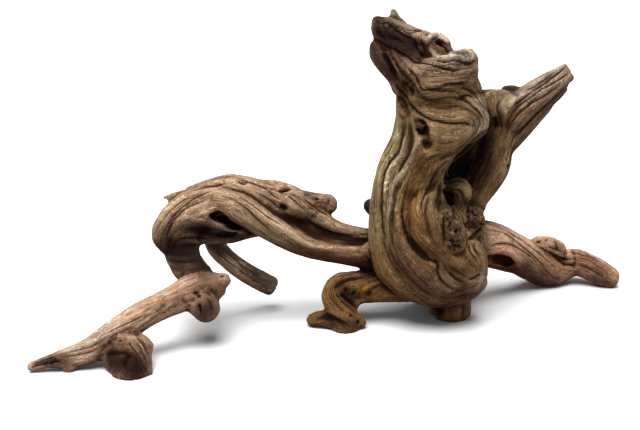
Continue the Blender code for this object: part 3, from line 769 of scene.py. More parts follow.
# %% Lines on the branch
FRONT_LINES += [
    ("fissure", 1.5, -1.8, 0.9, [(509, 113), (514, 106), (522, 99), (532, 91), (543, 84), (556, 75),
        (566, 67)]),
    ("fissure", 1.4, -1.4, 0.8, [(526, 107), (531, 102), (538, 96)]),
    ("fissure", 1.4, -1.4, 0.8, [(545, 88), (553, 83), (562, 78), (569, 73)]),
    ("fissure", 1.3, -1.0, 0.5, [(512, 122), (520, 112), (530, 105), (543, 97), (556, 88), (565, 82)]),
    ("fissure", 1.3, -1.0, 0.5, [(515, 130), (524, 118), (536, 108), (549, 98)]),
    ("fissure", 1.3, -1.0, 0.5, [(520, 93), (533, 87), (545, 79), (558, 70)]),
    ("fissure", 1.4, -1.2, 0.7, [(507, 122), (516, 109), (528, 99), (540, 90), (551, 82)]),
    ("fissure", 1.4, -1.2, 0.7, [(517, 138), (529, 123), (543, 110), (556, 97), (566, 86)]),
    ("fissure", 1.3, -1.0, 0.5, [(512, 141), (524, 127), (537, 113), (550, 101)]),
    ("branch_edge", 1.8, 1.2, 0, [(516, 112), (528, 103), (541, 94), (556, 84), (567, 76)]),
    ("pit", 2.4, -3, 0.9, [(508, 166)]),
    ("knob_rim", 2.4, 1.5, 0, [(508, 160)]),
]
print(len(FRONT_LINES), "lines with the branch")

# %% [markdown]
# The arched root is the smoothest part, because it was held up to the weather. Its lines are long and
# shallow, and follow it round the eye-shaped hole, where it once grew round something that is gone.

# %% Lines on the arch
FRONT_LINES += [
    ("band_ridge", 2.4, 1.7, 0, [(243, 201), (252, 208), (262, 217), (275, 225), (288, 232), (299, 240),
        (310, 246.5), (330, 248.5), (350, 249), (368, 249)]),
    ("trough", 5, -1.6, 0.25, [(300, 227), (312, 235), (325, 240), (345, 243), (369, 241)]),
    ("trough_wall", 2.6, -1.6, 0.7, [(303, 217), (316, 226), (333, 233), (352, 235.5), (370, 234.5)]),
    ("rail_ridge", 2.2, 1.3, 0, [(298, 199), (310, 208), (322, 217), (336, 225), (352, 228.5), (370, 231)]),
    ("slit", 2.8, -5, 1, [(279, 190.5), (285, 189.5), (291, 188)]),
    ("hole", 3.2, -7, 1, [(283, 207), (285.5, 209)]),
    ("pocket", 2, -2.5, 0.9, [(238, 181), (242, 183), (247, 183)]),
    ("crest_line", 1.4, -1.2, 0.6, [(233, 178), (243, 180), (256, 184), (268, 190), (276, 198), (284, 202)]),
    ("crest_line", 1.4, -1.2, 0.6, [(220, 186), (236, 190), (250, 195), (262, 204), (274, 213), (288, 222),
        (300, 234)]),
    ("crest_line", 1.3, -0.9, 0.5, [(230, 196), (244, 200), (258, 210), (272, 220), (288, 230)]),
    ("crest_line", 1.4, -1.3, 0.7, [(286, 193), (296, 196), (304, 203), (313, 210), (321, 214)]),
    ("crest_line", 1.4, -1.1, 0.6, [(262, 186), (276, 190), (290, 197), (300, 206), (310, 215)]),
    ("crest_line", 1.3, -0.9, 0.5, [(255, 192), (268, 199), (280, 209), (292, 219)]),
    ("crest_valley", 2.4, -2, 0.5, [(191, 190), (203, 187), (216, 185), (226, 183)]),
    ("finger_pit", 2, -2.5, 0.9, [(305, 194), (311, 195)]),
    ("finger_pit", 2.2, -2.8, 0.9, [(315, 198), (320, 199)]),
    ("pit", 1.8, -2, 0.8, [(329, 203)]),
    ("pit", 1.6, -1.6, 0.8, [(324, 196)]),
    ("finger_edge", 1.6, -2, 0.9, [(304, 199), (313, 205), (322, 211), (328, 214.5)]),
]
print(len(FRONT_LINES), "lines with the arch")

# %% Lines on the hip, its shelf and its strut
FRONT_LINES += [
    ("hip_line", 1.4, -1, 0.5, [(214, 190), (199, 196), (186, 204), (174, 215), (165, 229), (161, 241)]),
    ("hip_line", 1.4, -0.9, 0.5, [(207, 199), (194, 204), (182, 211), (173, 222), (167, 235), (167, 246)]),
    ("hip_line", 1.3, -0.8, 0.4, [(196, 193), (182, 201), (171, 210), (160, 224), (154, 236)]),
    ("hip_line", 1.4, -1, 0.5, [(218, 196), (234, 200), (246, 208), (256, 218), (270, 230)]),
    ("shelf_edge", 2.2, 1.8, 0, [(171, 223), (184, 218), (199, 220), (213, 223), (228, 227), (244, 231)]),
    ("shelf_face", 7, -4, 0.5, [(178, 231), (192, 230), (207, 232), (222, 236), (236, 238)]),
    ("recess", 4.5, -3.5, 1, [(217, 234), (228, 233), (239, 233)]),
    ("black_hole", 4.5, -6, 1, [(209, 215), (218, 217), (228, 221), (238, 226)]),
    ("shelf_line", 1.4, -1, 0.5, [(176, 238), (190, 238), (204, 239), (216, 241)]),
    ("strut_rib", 2.4, -0.8, 0.2, [(164, 251), (178, 255), (196, 251)]),
    ("strut_rib", 2.4, -0.8, 0.2, [(168, 260), (184, 262), (201, 258)]),
    ("strut_rib", 2.4, -0.8, 0.2, [(172, 269), (186, 269)]),
    ("stick_line", 1.6, -0.8, 0.5, [(215, 248), (224, 258), (238, 269), (254, 280), (268, 288)]),
    ("stick_line", 1.6, -0.8, 0.5, [(222, 247), (232, 256), (246, 268), (262, 277)]),
]
print(len(FRONT_LINES), "lines with the hip")

# %% Lines on the leg
FRONT_LINES += [
    ("leg_line", 1.4, -1, 0.4, [(62, 353), (75, 350), (90, 346.5), (104, 340)]),
    ("leg_line", 1.4, -1.0, 0.4, [(56, 358), (72, 355.5), (88, 353), (99, 349)]),
    ("leg_line", 1.3, -0.9, 0.5, [(100, 337), (115, 329), (132, 321), (148, 314)]),
    ("leg_line", 1.3, -0.4, 0.12, [(120, 320), (138, 310), (158, 300), (180, 291), (200, 284)]),
    ("leg_line", 1.4, -0.6, 0.2, [(136, 324), (150, 315), (162, 309), (174, 303.5), (188, 298)]),
    ("leg_line", 1.3, -0.6, 0.25, [(140, 329), (155, 319), (170, 311), (186, 305)]),
    ("tip_split", 1.5, -2.2, 0.9, [(31, 364), (38, 361.5), (48, 357.5), (56, 358)]),
    ("tip_split", 1.4, -2, 0.9, [(31, 368), (41, 365), (52, 364), (62, 361)]),
    ("tip_notch", 2.4, -3, 0.9, [(52, 361), (58, 363)]),
    ("pit", 2.4, -2.5, 0.9, [(196, 293)]),
    ("pit", 2.2, -2.2, 0.9, [(199, 296)]),
    ("pit", 2.4, -3, 1, [(222, 275.5)]),
    ("knob_crack", 2, -3.5, 1, [(199, 303), (200, 309), (201, 315)]),
    ("knob_crack", 1.5, -1.5, 0.7, [(207, 298), (211, 304), (212, 311)]),
    ("pit", 2.2, -1.4, 0.5, [(109, 344)]),
    ("pit_rim", 4, 0.8, 0, [(109, 344)]),
    ("knob_band", 2, 1.8, 0, [(131, 344), (136, 352), (141, 361), (146, 371)]),
    ("knob_line", 1.4, -1.5, 0.7, [(134, 338), (140, 345), (145, 355), (149, 366)]),
    ("knob_line", 1.3, -1.2, 0.6, [(137, 336), (144, 343), (149, 353)]),
    ("knob_line", 1.5, -2, 0.8, [(128, 341), (134, 349), (140, 359), (147, 372)]),
    ("knob_brow", 2.6, 2, 0, [(103, 351), (112, 348), (122, 348), (130, 351), (135, 358)]),
    ("knob_shadow", 3, -2.5, 0.5, [(106, 356), (114, 353), (124, 353), (131, 357)]),
]
print(len(FRONT_LINES), "lines with the leg")

# %% Lines on the curled foot
FRONT_LINES += [
    ("furrow", 4.5, -4, 0.7, [(334, 291), (337, 285), (343, 280.5), (352, 277.5), (362, 276.5)]),
    ("pit", 2.8, -3.5, 1, [(346, 290)]),
    ("pit", 2.4, -3, 0.9, [(343, 296)]),
    ("pit", 2.4, -2.5, 0.9, [(354.5, 293)]),
    ("pit", 3.2, -3, 0.8, [(369, 294)]),
    ("curl_ridge", 2, 1.6, 0, [(362, 292), (368, 287), (376, 282.5)]),
    ("curl_crease", 2, -3, 1, [(340, 293), (347, 299), (354, 305), (357, 309)]),
    ("curl_line", 1.4, -1, 0.5, [(326, 290), (331, 298), (338, 306), (346, 313)]),
    ("curl_line", 1.4, -1, 0.5, [(333, 291), (341, 300), (350, 308), (357, 315)]),
    ("curl_line", 1.3, -0.9, 0.5, [(324, 286), (331, 279), (342, 275.5), (356, 273.5)]),
    ("toe_edge", 1.8, 1.2, 0, [(309, 316), (316, 312), (326, 311.5), (336, 314), (344, 318.5), (351, 322)]),
    ("sole_shade", 4, -1.5, 0.8, [(312, 321), (322, 317.5), (333, 319), (344, 323), (353, 326)]),
    ("pit", 2.8, -3, 1, [(358.5, 322)]),
    ("pit", 2, -2, 0.8, [(351, 316)]),
]
print(len(FRONT_LINES), "lines with the curled foot")

# %% Lines on the right limb
FRONT_LINES += [
    ("limb_line", 1.4, -1, 0.5, [(487, 222), (500, 227), (515, 235), (529, 245), (541, 254), (553, 264)]),
    ("limb_line", 1.3, -0.8, 0.4, [(488, 229), (503, 232), (517, 240), (530, 251), (541, 262), (550, 273)]),
    ("limb_line", 1.4, -1, 0.5, [(492, 246), (502, 243.5), (513, 245), (523, 250), (532, 257), (540, 267)]),
    ("limb_line", 1.3, -0.8, 0.4, [(512, 240), (524, 247), (535, 256), (546, 268)]),
    ("cave", 8, -3, 0.2, [(492, 262), (501, 259), (510, 262)]),
    ("cave_rim", 1.8, 1.5, 0, [(489, 257), (496, 252), (504, 250), (512, 252), (516, 259), (519, 268)]),
    ("knot_crease", 2.1, -3, 1, [(539, 247), (549, 251.5), (559, 256.5), (567, 259), (574, 258.5)]),
    ("knot_crease", 1.6, -2, 0.8, [(551, 254), (560, 260), (568, 264.5), (574, 266.5)]),
    ("knot_mouth", 3.2, -4, 1, [(537, 240), (541, 242.5)]),
    ("pit", 1.7, -2, 0.9, [(546.5, 240)]),
    ("knot_line", 1.6, -2, 0.8, [(555, 241), (557.5, 246), (558, 250)]),
    ("knot_line", 2.2, -2, 0.6, [(548, 246), (555, 250), (562, 251)]),
    ("knot_plate", 1.8, 1.3, 0, [(538, 247), (547, 250), (556, 253.5), (565, 255.5), (569.5, 253), (568, 246)]),
    ("pit", 1.6, -2, 0.9, [(565, 265)]),
    ("pit", 2, -2, 0.9, [(572, 265.5)]),
    ("limb_waist", 3, -2, 0.2, [(572, 248), (575, 258), (574, 270)]),
    ("finger_line", 1.4, -1, 0.6, [(578, 257), (590, 261), (600, 267.5), (609, 275)]),
    ("finger_line", 1.4, -1, 0.6, [(577, 264), (590, 269), (601, 276), (608, 281)]),
    ("finger_line", 1.3, -0.8, 0.4, [(581, 251), (592, 256.5), (603, 263), (613, 270)]),
]
print(len(FRONT_LINES), "lines with the right limb, which are all on the front view")

# %% [markdown]
# The far side is in no picture. It gets fewer lines, in the manner of the front: long cracks that follow the
# folds, a few shorter ones beside them, and two pits. Without them the back would look unfinished.

# %% Lines on the back and the top
BACK_LINES = [
    ("back_crack", 1.8, -2.2, 0.9, [(115, 230), (125, 180), (115, 135), (100, 85), (98, 45)]),
    ("back_crack", 1.5, -1.5, 0.7, [(98, 238), (105, 195), (110, 165), (98, 120), (84, 85)]),
    ("back_crack", 1.5, -1.5, 0.7, [(128, 215), (136, 175), (129, 130), (122, 95)]),
    ("back_line", 1.4, -1, 0.5, [(106, 235), (115, 190), (119, 160), (108, 120), (94, 80), (91, 50)]),
    ("back_line", 1.4, -1, 0.5, [(88, 238), (91, 200), (98, 165), (88, 130), (75, 95)]),
    ("back_line", 1.4, -1, 0.5, [(131, 195), (142, 170), (136, 135), (128, 110)]),
    ("back_ridge", 2.4, 1.3, 0, [(110, 232), (120, 185), (124, 160), (112, 120), (100, 85)]),
    ("back_ridge", 2.4, 1.3, 0, [(81, 235), (84, 200), (90, 170), (81, 135), (69, 100)]),
    ("back_seam", 2.4, -2.5, 1, [(74, 232), (70, 195), (80, 165), (74, 135), (62, 118), (60, 75), (63, 45)]),
    ("back_crack", 1.6, -1.8, 0.8, [(55, 205), (44, 165), (36, 125), (30, 105)]),
    ("back_crack", 1.5, -1.4, 0.7, [(65, 225), (60, 195), (55, 145), (52, 110)]),
    ("back_line", 1.4, -1, 0.5, [(60, 215), (51, 180), (45, 140), (42, 115)]),
    ("back_line", 1.4, -1, 0.5, [(69, 180), (63, 145), (58, 110), (55, 75)]),
    ("back_line", 1.4, -1, 0.5, [(50, 85), (47, 65), (45, 50)]),
    ("foot_crack", 1.6, -1.8, 0.8, [(101, 47), (102, 25), (100, 3)]),
    ("foot_crack", 1.5, -1.4, 0.7, [(85, 46), (84, 25), (86, 3)]),
    ("foot_line", 1.4, -1, 0.5, [(110, 45), (111, 25), (110, 5)]),
    ("limb_crack", 1.6, -1.8, 0.8, [(135, 78), (162, 59), (188, 36), (212, 20)]),
    ("limb_line", 1.4, -1.1, 0.6, [(125, 55), (155, 41), (180, 25), (200, 11)]),
    ("limb_line", 1.4, -1.1, 0.6, [(150, 79), (179, 58), (198, 45), (210, 34)]),
    ("limb_line", 1.4, -1, 0.5, [(132, 65), (160, 49), (182, 31)]),
    ("finger_line", 1.4, -1.1, 0.6, [(230, 24), (260, 24), (284, 13)]),
    ("finger_line", 1.4, -1.1, 0.6, [(235, 32), (264, 32), (286, 19)]),
    ("knot_line", 1.5, -1.8, 0.8, [(230, 45), (218, 49), (200, 50)]),
    ("fissure", 1.5, -1.8, 0.9, [(139, 211), (164, 221), (189, 238), (207, 245)]),
    ("fissure", 1.4, -1.4, 0.8, [(152, 195), (179, 210), (199, 229), (212, 239)]),
    ("fissure", 1.4, -1.2, 0.6, [(150, 186), (174, 195), (194, 214), (208, 228)]),
    ("neck_line", 1.5, -1.6, 0.8, [(119, 242), (100, 247), (75, 242), (49, 245)]),
    ("neck_line", 1.4, -1.1, 0.6, [(116, 231), (90, 226), (64, 231), (47, 226)]),
    ("neck_line", 1.4, -1.1, 0.6, [(120, 252), (110, 254), (85, 251), (60, 250)]),
    ("head_line", 1.5, -1.6, 0.8, [(91, 261), (65, 275), (41, 289), (24, 297)]),
    ("head_line", 1.4, -1.2, 0.7, [(85, 255), (54, 262), (29, 281)]),
    ("head_line", 1.4, -1, 0.5, [(88, 270), (65, 281), (45, 293)]),
    ("shard_line", 1.4, -1.4, 0.7, [(45, 242), (35, 260), (24, 275)]),
    ("arch_crack", 1.6, -1.8, 0.8, [(-20, 114), (-46, 125), (-75, 139), (-115, 144), (-155, 131)]),
    ("arch_line", 1.4, -1.1, 0.6, [(-25, 108), (-56, 113), (-86, 124), (-125, 129), (-150, 124)]),
    ("arch_line", 1.4, -1.1, 0.6, [(-36, 129), (-70, 142), (-106, 147)]),
    ("arch_pit", 2.4, -3, 0.9, [(-46, 119), (-49, 120)]),
    ("arch_crack", 1.5, -1.5, 0.7, [(25, 85), (-6, 93), (-46, 100)]),
    ("arch_line", 1.4, -1.1, 0.6, [(19, 69), (-16, 73), (-51, 85), (-76, 95)]),
    ("arch_line", 1.4, -1.1, 0.6, [(22, 76), (-11, 82), (-47, 93)]),
    ("wall_crack", 1.6, -1.8, 0.8, [(-81, 109), (-111, 113), (-150, 110)]),
    ("wall_line", 1.4, -1.1, 0.6, [(-78, 100), (-111, 101), (-154, 97)]),
    ("hip_crack", 1.6, -1.6, 0.8, [(-171, 125), (-179, 104), (-174, 75), (-161, 56)]),
    ("hip_line", 1.4, -1.1, 0.6, [(-161, 119), (-168, 94), (-160, 65)]),
    ("hip_line", 1.4, -1.1, 0.6, [(-180, 120), (-185, 99), (-179, 78)]),
    ("stick_line", 1.5, -1.1, 0.6, [(-140, 84), (-121, 55), (-81, 27)]),
    ("stick_line", 1.4, -0.9, 0.5, [(-132, 84), (-111, 52), (-76, 25)]),
    ("leg_crack", 1.5, -1.5, 0.7, [(-166, 55), (-206, 44), (-241, 25), (-276, 10)]),
    ("leg_line", 1.4, -1.0, 0.4, [(-142, 44), (-186, 44), (-221, 29), (-250, 13)]),
    ("leg_line", 1.4, -1.0, 0.4, [(-176, 58), (-216, 39), (-255, 20)]),
    ("knob_line", 1.5, -1.6, 0.8, [(-185, 25), (-195, 15), (-206, 3)]),
    ("knob_line", 1.4, -1.2, 0.6, [(-190, 29), (-205, 19), (-219, 5)]),
    ("curl_crack", 1.5, -1.5, 0.7, [(45, 34), (14, 46), (-14, 46), (-22, 30), (-16, 15)]),
    ("curl_line", 1.4, -1.1, 0.6, [(49, 25), (5, 36), (-10, 29), (-5, 11)]),
    ("toe_line", 1.4, -1.1, 0.6, [(5, 5), (-15, 9), (-37, 9)]),
    ("back_pit", 3, -4, 1, [(113, 147), (109, 145)]),
    ("back_pit", 2.4, -3, 0.9, [(47, 95), (44, 92)]),
]
TOP_LINES = [
    ("limb_crack", 1.6, -1.6, 0.8, [(151, 70), (181, 95), (216, 114), (250, 120), (285, 105)]),
    ("mass_crack", 1.6, -1.6, 0.8, [(75, 54), (100, 75), (125, 76), (143, 59)]),
    ("mass_line", 1.4, -1.1, 0.6, [(71, 69), (86, 89), (106, 97)]),
    ("mass_line", 1.4, -1.1, 0.6, [(81, 45), (101, 65), (124, 67), (136, 52)]),
]
print(len(BACK_LINES), "lines on the back and", len(TOP_LINES), "on the top")

# %% [markdown]
# Wood that stood in the sea isn't one brown. Some of it has bleached to silver, damp has left green on one
# flank, and fresh breaks show red. Some tints are painted light instead: the umber tint and the shade-brown
# tint are painted shade on hollows, undersides and faces turned from the light, and the palest tint is a
# painted highlight on tops. Where each of these lies is brushed on from the same front view. A stroke is
# (reach, strength, places), and the last table says in the same form where the wood has crumbled.

# %% The brushed tints
TINTED = {
    "sap_green": [
        (9, 0.45, [(399, 128), (390, 152), (380, 180), (376, 210), (376, 235)]),
        (7, 0.55, [(409, 130), (408, 150), (402, 168), (395, 188), (389, 215), (386, 240)]),
        (6, 0.6, [(392, 14), (380, 20), (396, 24)]),
        (8, 0.6, [(256, 222), (270, 234), (286, 244), (300, 250)]),
    ],
    "silver": [
        (3, 0.35, [(417, 140), (413, 152), (405, 167), (397, 180), (391, 196), (389, 215)]),
        (3, 0.4, [(403, 138), (398, 155), (389, 170), (386, 190)]),
        (6, 0.3, [(480, 285), (484, 270)]),
        (12, 0.45, [(478, 104), (486, 118), (478, 128)]),
        (9, 0.45, [(505, 104), (520, 96), (540, 86), (558, 72)]),
        (5, 0.35, [(224, 259), (238, 268)]),
        (4, 0.9, [(431, 36), (437, 33), (443, 37)]),
        (4.5, 0.9, [(433, 54), (445, 57), (458, 56), (470, 55), (474, 60)]),
        (5, 0.6, [(459, 52), (468, 52)]),
        (9, 0.4, [(70, 348), (95, 338), (112, 328)]),
    ],
    "ochre": [
        (12, 0.45, [(423, 165), (414, 190), (411, 215)]),
        (14, 0.7, [(376, 262), (386, 280), (396, 292)]),
        (8, 0.6, [(470, 262), (478, 268)]),
        (11, 0.9, [(489, 260), (500, 263), (512, 266)]),
        (8, 0.6, [(392, 58), (401, 70), (409, 82)]),
        (3.5, 0.8, [(433, 43), (440, 49), (446, 56)]),
        (14, 1.0, [(450, 306), (452, 320)]),
        (8, 0.5, [(484, 195), (490, 185)]),
        (8, 0.6, [(320, 258), (345, 262), (366, 262)]),
        (12, 0.35, [(190, 290), (170, 296), (150, 306)]),
        (10, 0.4, [(207, 284), (215, 290)]),
        (14, 0.35, [(360, 288), (380, 292), (400, 292)]),
    ],
    "damp_purple": [
        (18, 0.8, [(404, 250), (418, 270), (440, 290), (465, 296)]),
    ],
    # painted shade, the darkest: hollows, the fold's underside, the strut and other faces turned from the light
    "painted_shade_umber": [
        (10, 0.8, [(488, 140), (475, 155), (460, 170), (450, 182)]),
        (10, 0.6, [(470, 170), (480, 150), (488, 165), (478, 182)]),
        (6, 0.7, [(437, 203), (474, 203)]),
        (7, 0.8, [(378, 20), (377, 28), (384, 30)]),
        (9, 0.9, [(378, 30), (390, 37), (402, 44), (413, 50)]),
        (8, 0.8, [(371, 44), (375, 54), (383, 66), (391, 77)]),
        (20, 1.0, [(174, 250), (188, 256), (204, 266)]),
        (3.5, 0.9, [(418, 126), (424, 128)]),
        (5, 0.5, [(434, 44), (440, 50), (445, 54)]),
        (9, 0.8, [(110, 360), (122, 364), (134, 368)]),
        (6, 0.95, [(435, 306), (439, 312)]),
        (7, 0.85, [(505, 90), (510, 88), (514, 90)]),
        (9, 0.35, [(330, 238), (350, 240), (368, 240)]),
        (6, 0.4, [(305, 222), (318, 230)]),
        (10, 0.4, [(300, 262), (335, 267), (366, 270)]),
        (5.5, 1.0, [(225, 219), (237, 225), (250, 232)]),
        (12, 0.7, [(180, 232), (200, 233), (222, 236), (240, 236)]),
        (13, 0.9, [(175, 262), (190, 262), (205, 268)]),
        (9, 0.95, [(366, 203), (369, 214)]),
        (9, 0.6, [(214, 246), (222, 252)]),
        (9, 0.45, [(256, 276), (270, 286)]),
        (8, 0.5, [(222, 286), (212, 300)]),
        (11, 0.8, [(203, 312), (212, 306)]),
        (9, 0.7, [(54, 362), (64, 362)]),
        (13, 0.9, [(112, 362), (124, 364), (134, 370)]),
        (8, 0.7, [(340, 284), (347, 292), (352, 300)]),
        (7, 0.4, [(316, 322), (332, 322), (346, 327), (356, 325)]),
        (9, 0.6, [(526, 268), (540, 280), (556, 284)]),
        (6, 0.5, [(596, 280), (608, 284)]),
    ],
    # painted shade: undersides, folds and faces turned from the light
    "painted_shade_brown": [
        (9, 0.5, [(384, 20), (396, 30), (410, 42), (424, 52)]),
        (16, 0.35, [(448, 306), (456, 318)]),
        (14, 0.85, [(580, 258), (592, 264), (606, 272)]),
        (20, 0.4, [(430, 75), (450, 80), (470, 88)]),
        (18, 0.45, [(445, 108), (465, 112), (480, 112)]),
        (16, 0.45, [(384, 230), (392, 255), (410, 280)]),
        (14, 0.45, [(500, 110), (498, 130), (494, 155), (484, 180), (474, 196)]),
        (10, 0.7, [(580, 262), (596, 268), (608, 276)]),
        (10, 0.5, [(400, 86), (412, 96), (426, 104)]),
        (12, 0.7, [(168, 236), (180, 245), (190, 250)]),
        (22, 0.85, [(416, 228), (430, 246), (446, 254)]),
        (14, 0.5, [(420, 150), (440, 148), (460, 145)]),
        (16, 0.5, [(505, 115), (525, 112), (545, 100), (560, 90)]),
        (15, 1.0, [(285, 250), (310, 257), (335, 261), (366, 266)]),
        (12, 0.7, [(328, 292), (336, 304), (345, 316)]),
        (10, 0.6, [(204, 300), (206, 312)]),
        (15, 0.95, [(112, 352), (124, 358), (138, 366)]),
        (10, 0.35, [(500, 150), (495, 170), (485, 190)]),
        (10, 0.6, [(525, 262), (545, 272), (560, 272)]),
        (12, 0.45, [(494, 260), (502, 263), (510, 265)]),
        (9, 0.6, [(540, 243), (555, 246), (567, 252)]),
    ],
    "moss": [
        (6, 0.7, [(376, 18), (384, 22), (394, 30)]),
        (8, 0.5, [(396, 40), (410, 48), (418, 52)]),
    ],
    # painted highlight on the upper surfaces of the limb, the leg and the arch
    "painted_top_highlight": [
        (8, 0.2, [(262, 217), (290, 233), (320, 250), (350, 253)]),
        (7, 0.2, [(205, 190), (230, 184), (255, 188), (275, 196)]),
        (9, 0.85, [(490, 228), (505, 233), (520, 242), (534, 252)]),
        (8, 0.15, [(170, 294), (150, 306), (130, 318)]),
    ],
    "red_heart": [
        (10, 0.6, [(488, 150), (478, 165), (470, 182)]),
        (8, 0.5, [(390, 54), (400, 66), (408, 78), (410, 90)]),
        (3, 0.5, [(441, 43), (446, 52)]),
    ],
}
print({tint: len(strokes) for tint, strokes in TINTED.items()}, "strokes")

# %% The crumbled places
CRUMBLED = [
    (9.5, 1.0, [(451, 209), (454, 220), (456, 232), (455, 245)]),
    (9, 1.0, [(472, 213), (478, 222), (475, 230)]),
    (8, 0.5, [(392, 56), (402, 72), (410, 86)]),
    (6, 0.6, [(378, 24), (392, 30)]),
    (6, 0.7, [(466, 53), (456, 54)]),
    (7, 0.6, [(312, 215), (318, 205), (328, 200)]),
    (7, 0.6, [(370, 250), (368, 258)]),
    (6, 0.35, [(196, 294), (176, 303), (152, 314)]),
    (7, 0.5, [(126, 343), (110, 344)]),
    (8, 0.7, [(50, 361), (36, 365)]),
    (7, 0.5, [(347, 294), (354, 296)]),
    (7, 0.5, [(557, 244), (568, 262)]),
]
print(len(CRUMBLED), "crumbled places")

# %% [markdown]
# A line is dropped by casting a ray at the net along it, point by point. Only the first skin that a ray meets
# takes the line, so a root behind another one is never touched by mistake. Shrinkwrap would find the nearest
# skin instead, which may be another root's.

# %% Even steps along a line
LINE_STEP = 0.7     # mm on the skin, and the front view's units on the plan
PARTS_PER_SPAN = 24


def evenly(path, step=LINE_STEP):
    """Points along a polyline's spline, `step` apart."""
    fine = spline(np.array(path, float), PARTS_PER_SPAN) if len(path) > 1 else np.array(path, float)
    run = np.concatenate([[0], np.cumsum(np.linalg.norm(np.diff(fine, axis=0), axis=1))])
    at = np.linspace(0, run[-1], max(2, int(run[-1] / step) + 1)) if len(path) > 1 else np.zeros(1)
    return np.stack([np.interp(at, run, column) for column in fine.T], 1)


print("a line from 0, 0 to 7, 0 has", len(evenly([(0, 0), (7, 0)])), "points")

# %% Rays from the three plans
BEHIND, ABOVE_ALL = 400.0, 600.0    # mm, clear of the wood


def front_rays(places):
    """Rays from the eye through places on the front view."""
    start = np.broadcast_to(EYE - FOOTPRINT_MIDDLE, (len(places), 3))
    return start, unit(on_sheet(places) - EYE)


def back_rays(places):
    """Rays towards the front, from places (x, z) in millimetres on the plan of the back."""
    start = np.stack([places[:, 0], np.full(len(places), BEHIND), places[:, 1]], 1)
    return start, np.broadcast_to([0.0, -1.0, 0.0], start.shape)


def top_rays(places):
    """Rays downwards, from places (x, y) in millimetres on the plan of the ground."""
    start = np.stack([places[:, 0], places[:, 1], np.full(len(places), ABOVE_ALL)], 1)
    return start, np.broadcast_to([0.0, 0.0, -1.0], start.shape)


print("the front view's middle ray points at", front_rays(np.array([[320.0, 215.0]]))[1].round(2)[0])

# %% Dropping the lines
LONGEST_GAP = 3.5   # mm


def drop(tree, rays, path):
    """Where a line meets the skin, how far along the line each point is, and which way it runs there.

    The hits are joined and cut again into equal steps, as they lie far apart where the skin turns away. A
    stretch longer than LONGEST_GAP jumps from one root to another, so it is left out.
    """
    places = evenly(path)
    start, way = rays(places)
    met = [tree.ray_cast(Vector(a), Vector(b))[0] for a, b in zip(start, way)]
    share = np.linspace(0, 1, len(places))[[hit is not None for hit in met]]
    hits = np.array([hit for hit in met if hit is not None], float).reshape(-1, 3)
    if len(hits) > 2:
        gaps = np.linalg.norm(np.diff(hits, axis=0), axis=1)
        run = np.concatenate([[0], np.cumsum(gaps)])
        at = np.arange(0, run[-1], LINE_STEP)
        at = at[gaps[np.clip(np.searchsorted(run, at, "right") - 1, 0, len(gaps) - 1)] < LONGEST_GAP]
        share = np.interp(at, run, share)
        hits = np.stack([np.interp(at, run, column) for column in hits.T], 1)
    runs = unit(np.gradient(hits, axis=0)) if len(hits) > 2 else np.zeros_like(hits)
    return hits, share, runs


def drop_all(tree):
    """Every drawn line on the skin, as (row, hits, share along it, direction)."""
    plans = ((FRONT_LINES, front_rays), (BACK_LINES, back_rays), (TOP_LINES, top_rays))
    return [(row, *drop(tree, rays, row[4])) for lines, rays in plans for row in lines]


first_skin = BVHTree.FromPolygons(points.tolist(), triangles.tolist())
dropped = drop_all(first_skin)
print(len(dropped), "drawn lines of", sum(len(hits) for _, hits, _, _ in dropped), "points")

# %% [markdown]
# A brush of colour is dropped in the same way, and fades from its line to nothing. Painting by hand would
# need a picture to paint on, so each tint is a number stored at the points instead.

# %% Brushing the tints on
BRUSH_STEP = 4      # every fourth hit is enough for a soft brush


def boxed(place, hits, reach):
    """The numbers of the points in the box around the hits that is `reach` wider on every side."""
    return np.flatnonzero(((place > hits.min(0) - reach) & (place < hits.max(0) + reach)).all(1))


def brushed(strokes):
    """How strongly soft brushes mark each point: the greatest strength * exp(-(distance / reach)^2)."""
    mark = np.zeros(COUNT)
    for reach, strength, places in strokes:
        hits = drop(first_skin, front_rays, places)[0]
        near = boxed(points, hits, 2 * reach)
        fading = np.exp(-((distances(points[near], hits[::BRUSH_STEP]).min(1) / reach) ** 2))
        mark[near] = np.maximum(mark[near], strength * fading)
    return mark


tints = {tint: brushed(strokes) for tint, strokes in TINTED.items()}
crumbled = brushed(CRUMBLED)
print("brushed on:", ", ".join(tints), "and", int((crumbled > 0.3).sum()), "crumbled points")

# %% [markdown]
# Now the strands' directions and the lines' are put together, laid flat on the skin and smoothed, as the
# grain of a root turns slowly wherever nothing has split it. The strands alone would do for a straight root,
# but in the trunk the real grain swings from one strand to the next, as the drawn lines do.

# %% What the lines say of the grain
LINE_REACH = 9      # mm
SHORTEST_GUIDE = 8      # points
GUIDE_STEP = 3      # every third point is enough

guides = [(hits, runs) for row, hits, _, runs in dropped
          if len(hits) > SHORTEST_GUIDE and not row[0].startswith("pit")]
guide_points = np.vstack([hits[::GUIDE_STEP] for hits, _ in guides])
guide_tables = tables_of(np.vstack([runs[::GUIDE_STEP] for _, runs in guides]))


def from_guides(place):
    """The lines' tables and their weight at each point: each line point counts exp(-(distance / reach)^2)."""
    weight = np.exp(-((distances(place, guide_points) / LINE_REACH) ** 2))
    total = weight.sum(1, keepdims=True)
    return np.hstack([weight @ guide_tables / (total + TINY), np.minimum(total, 1)])


drawn = in_batches(from_guides, points)
print(len(guides), "lines guide the grain of", int((drawn[:, 6] > 0.5).sum()), "points")

# %% The direction of the grain
LINE_SAY = 3        # a line counts for three strands
GRAIN_SMOOTHING = 14    # passes

grain_tables = grain_tables + LINE_SAY * drawn[:, 6:] * drawn[:, :6]
grain_tables = spread(grain_tables / grain_tables[:, :3].sum(1, keepdims=True), GRAIN_SMOOTHING)


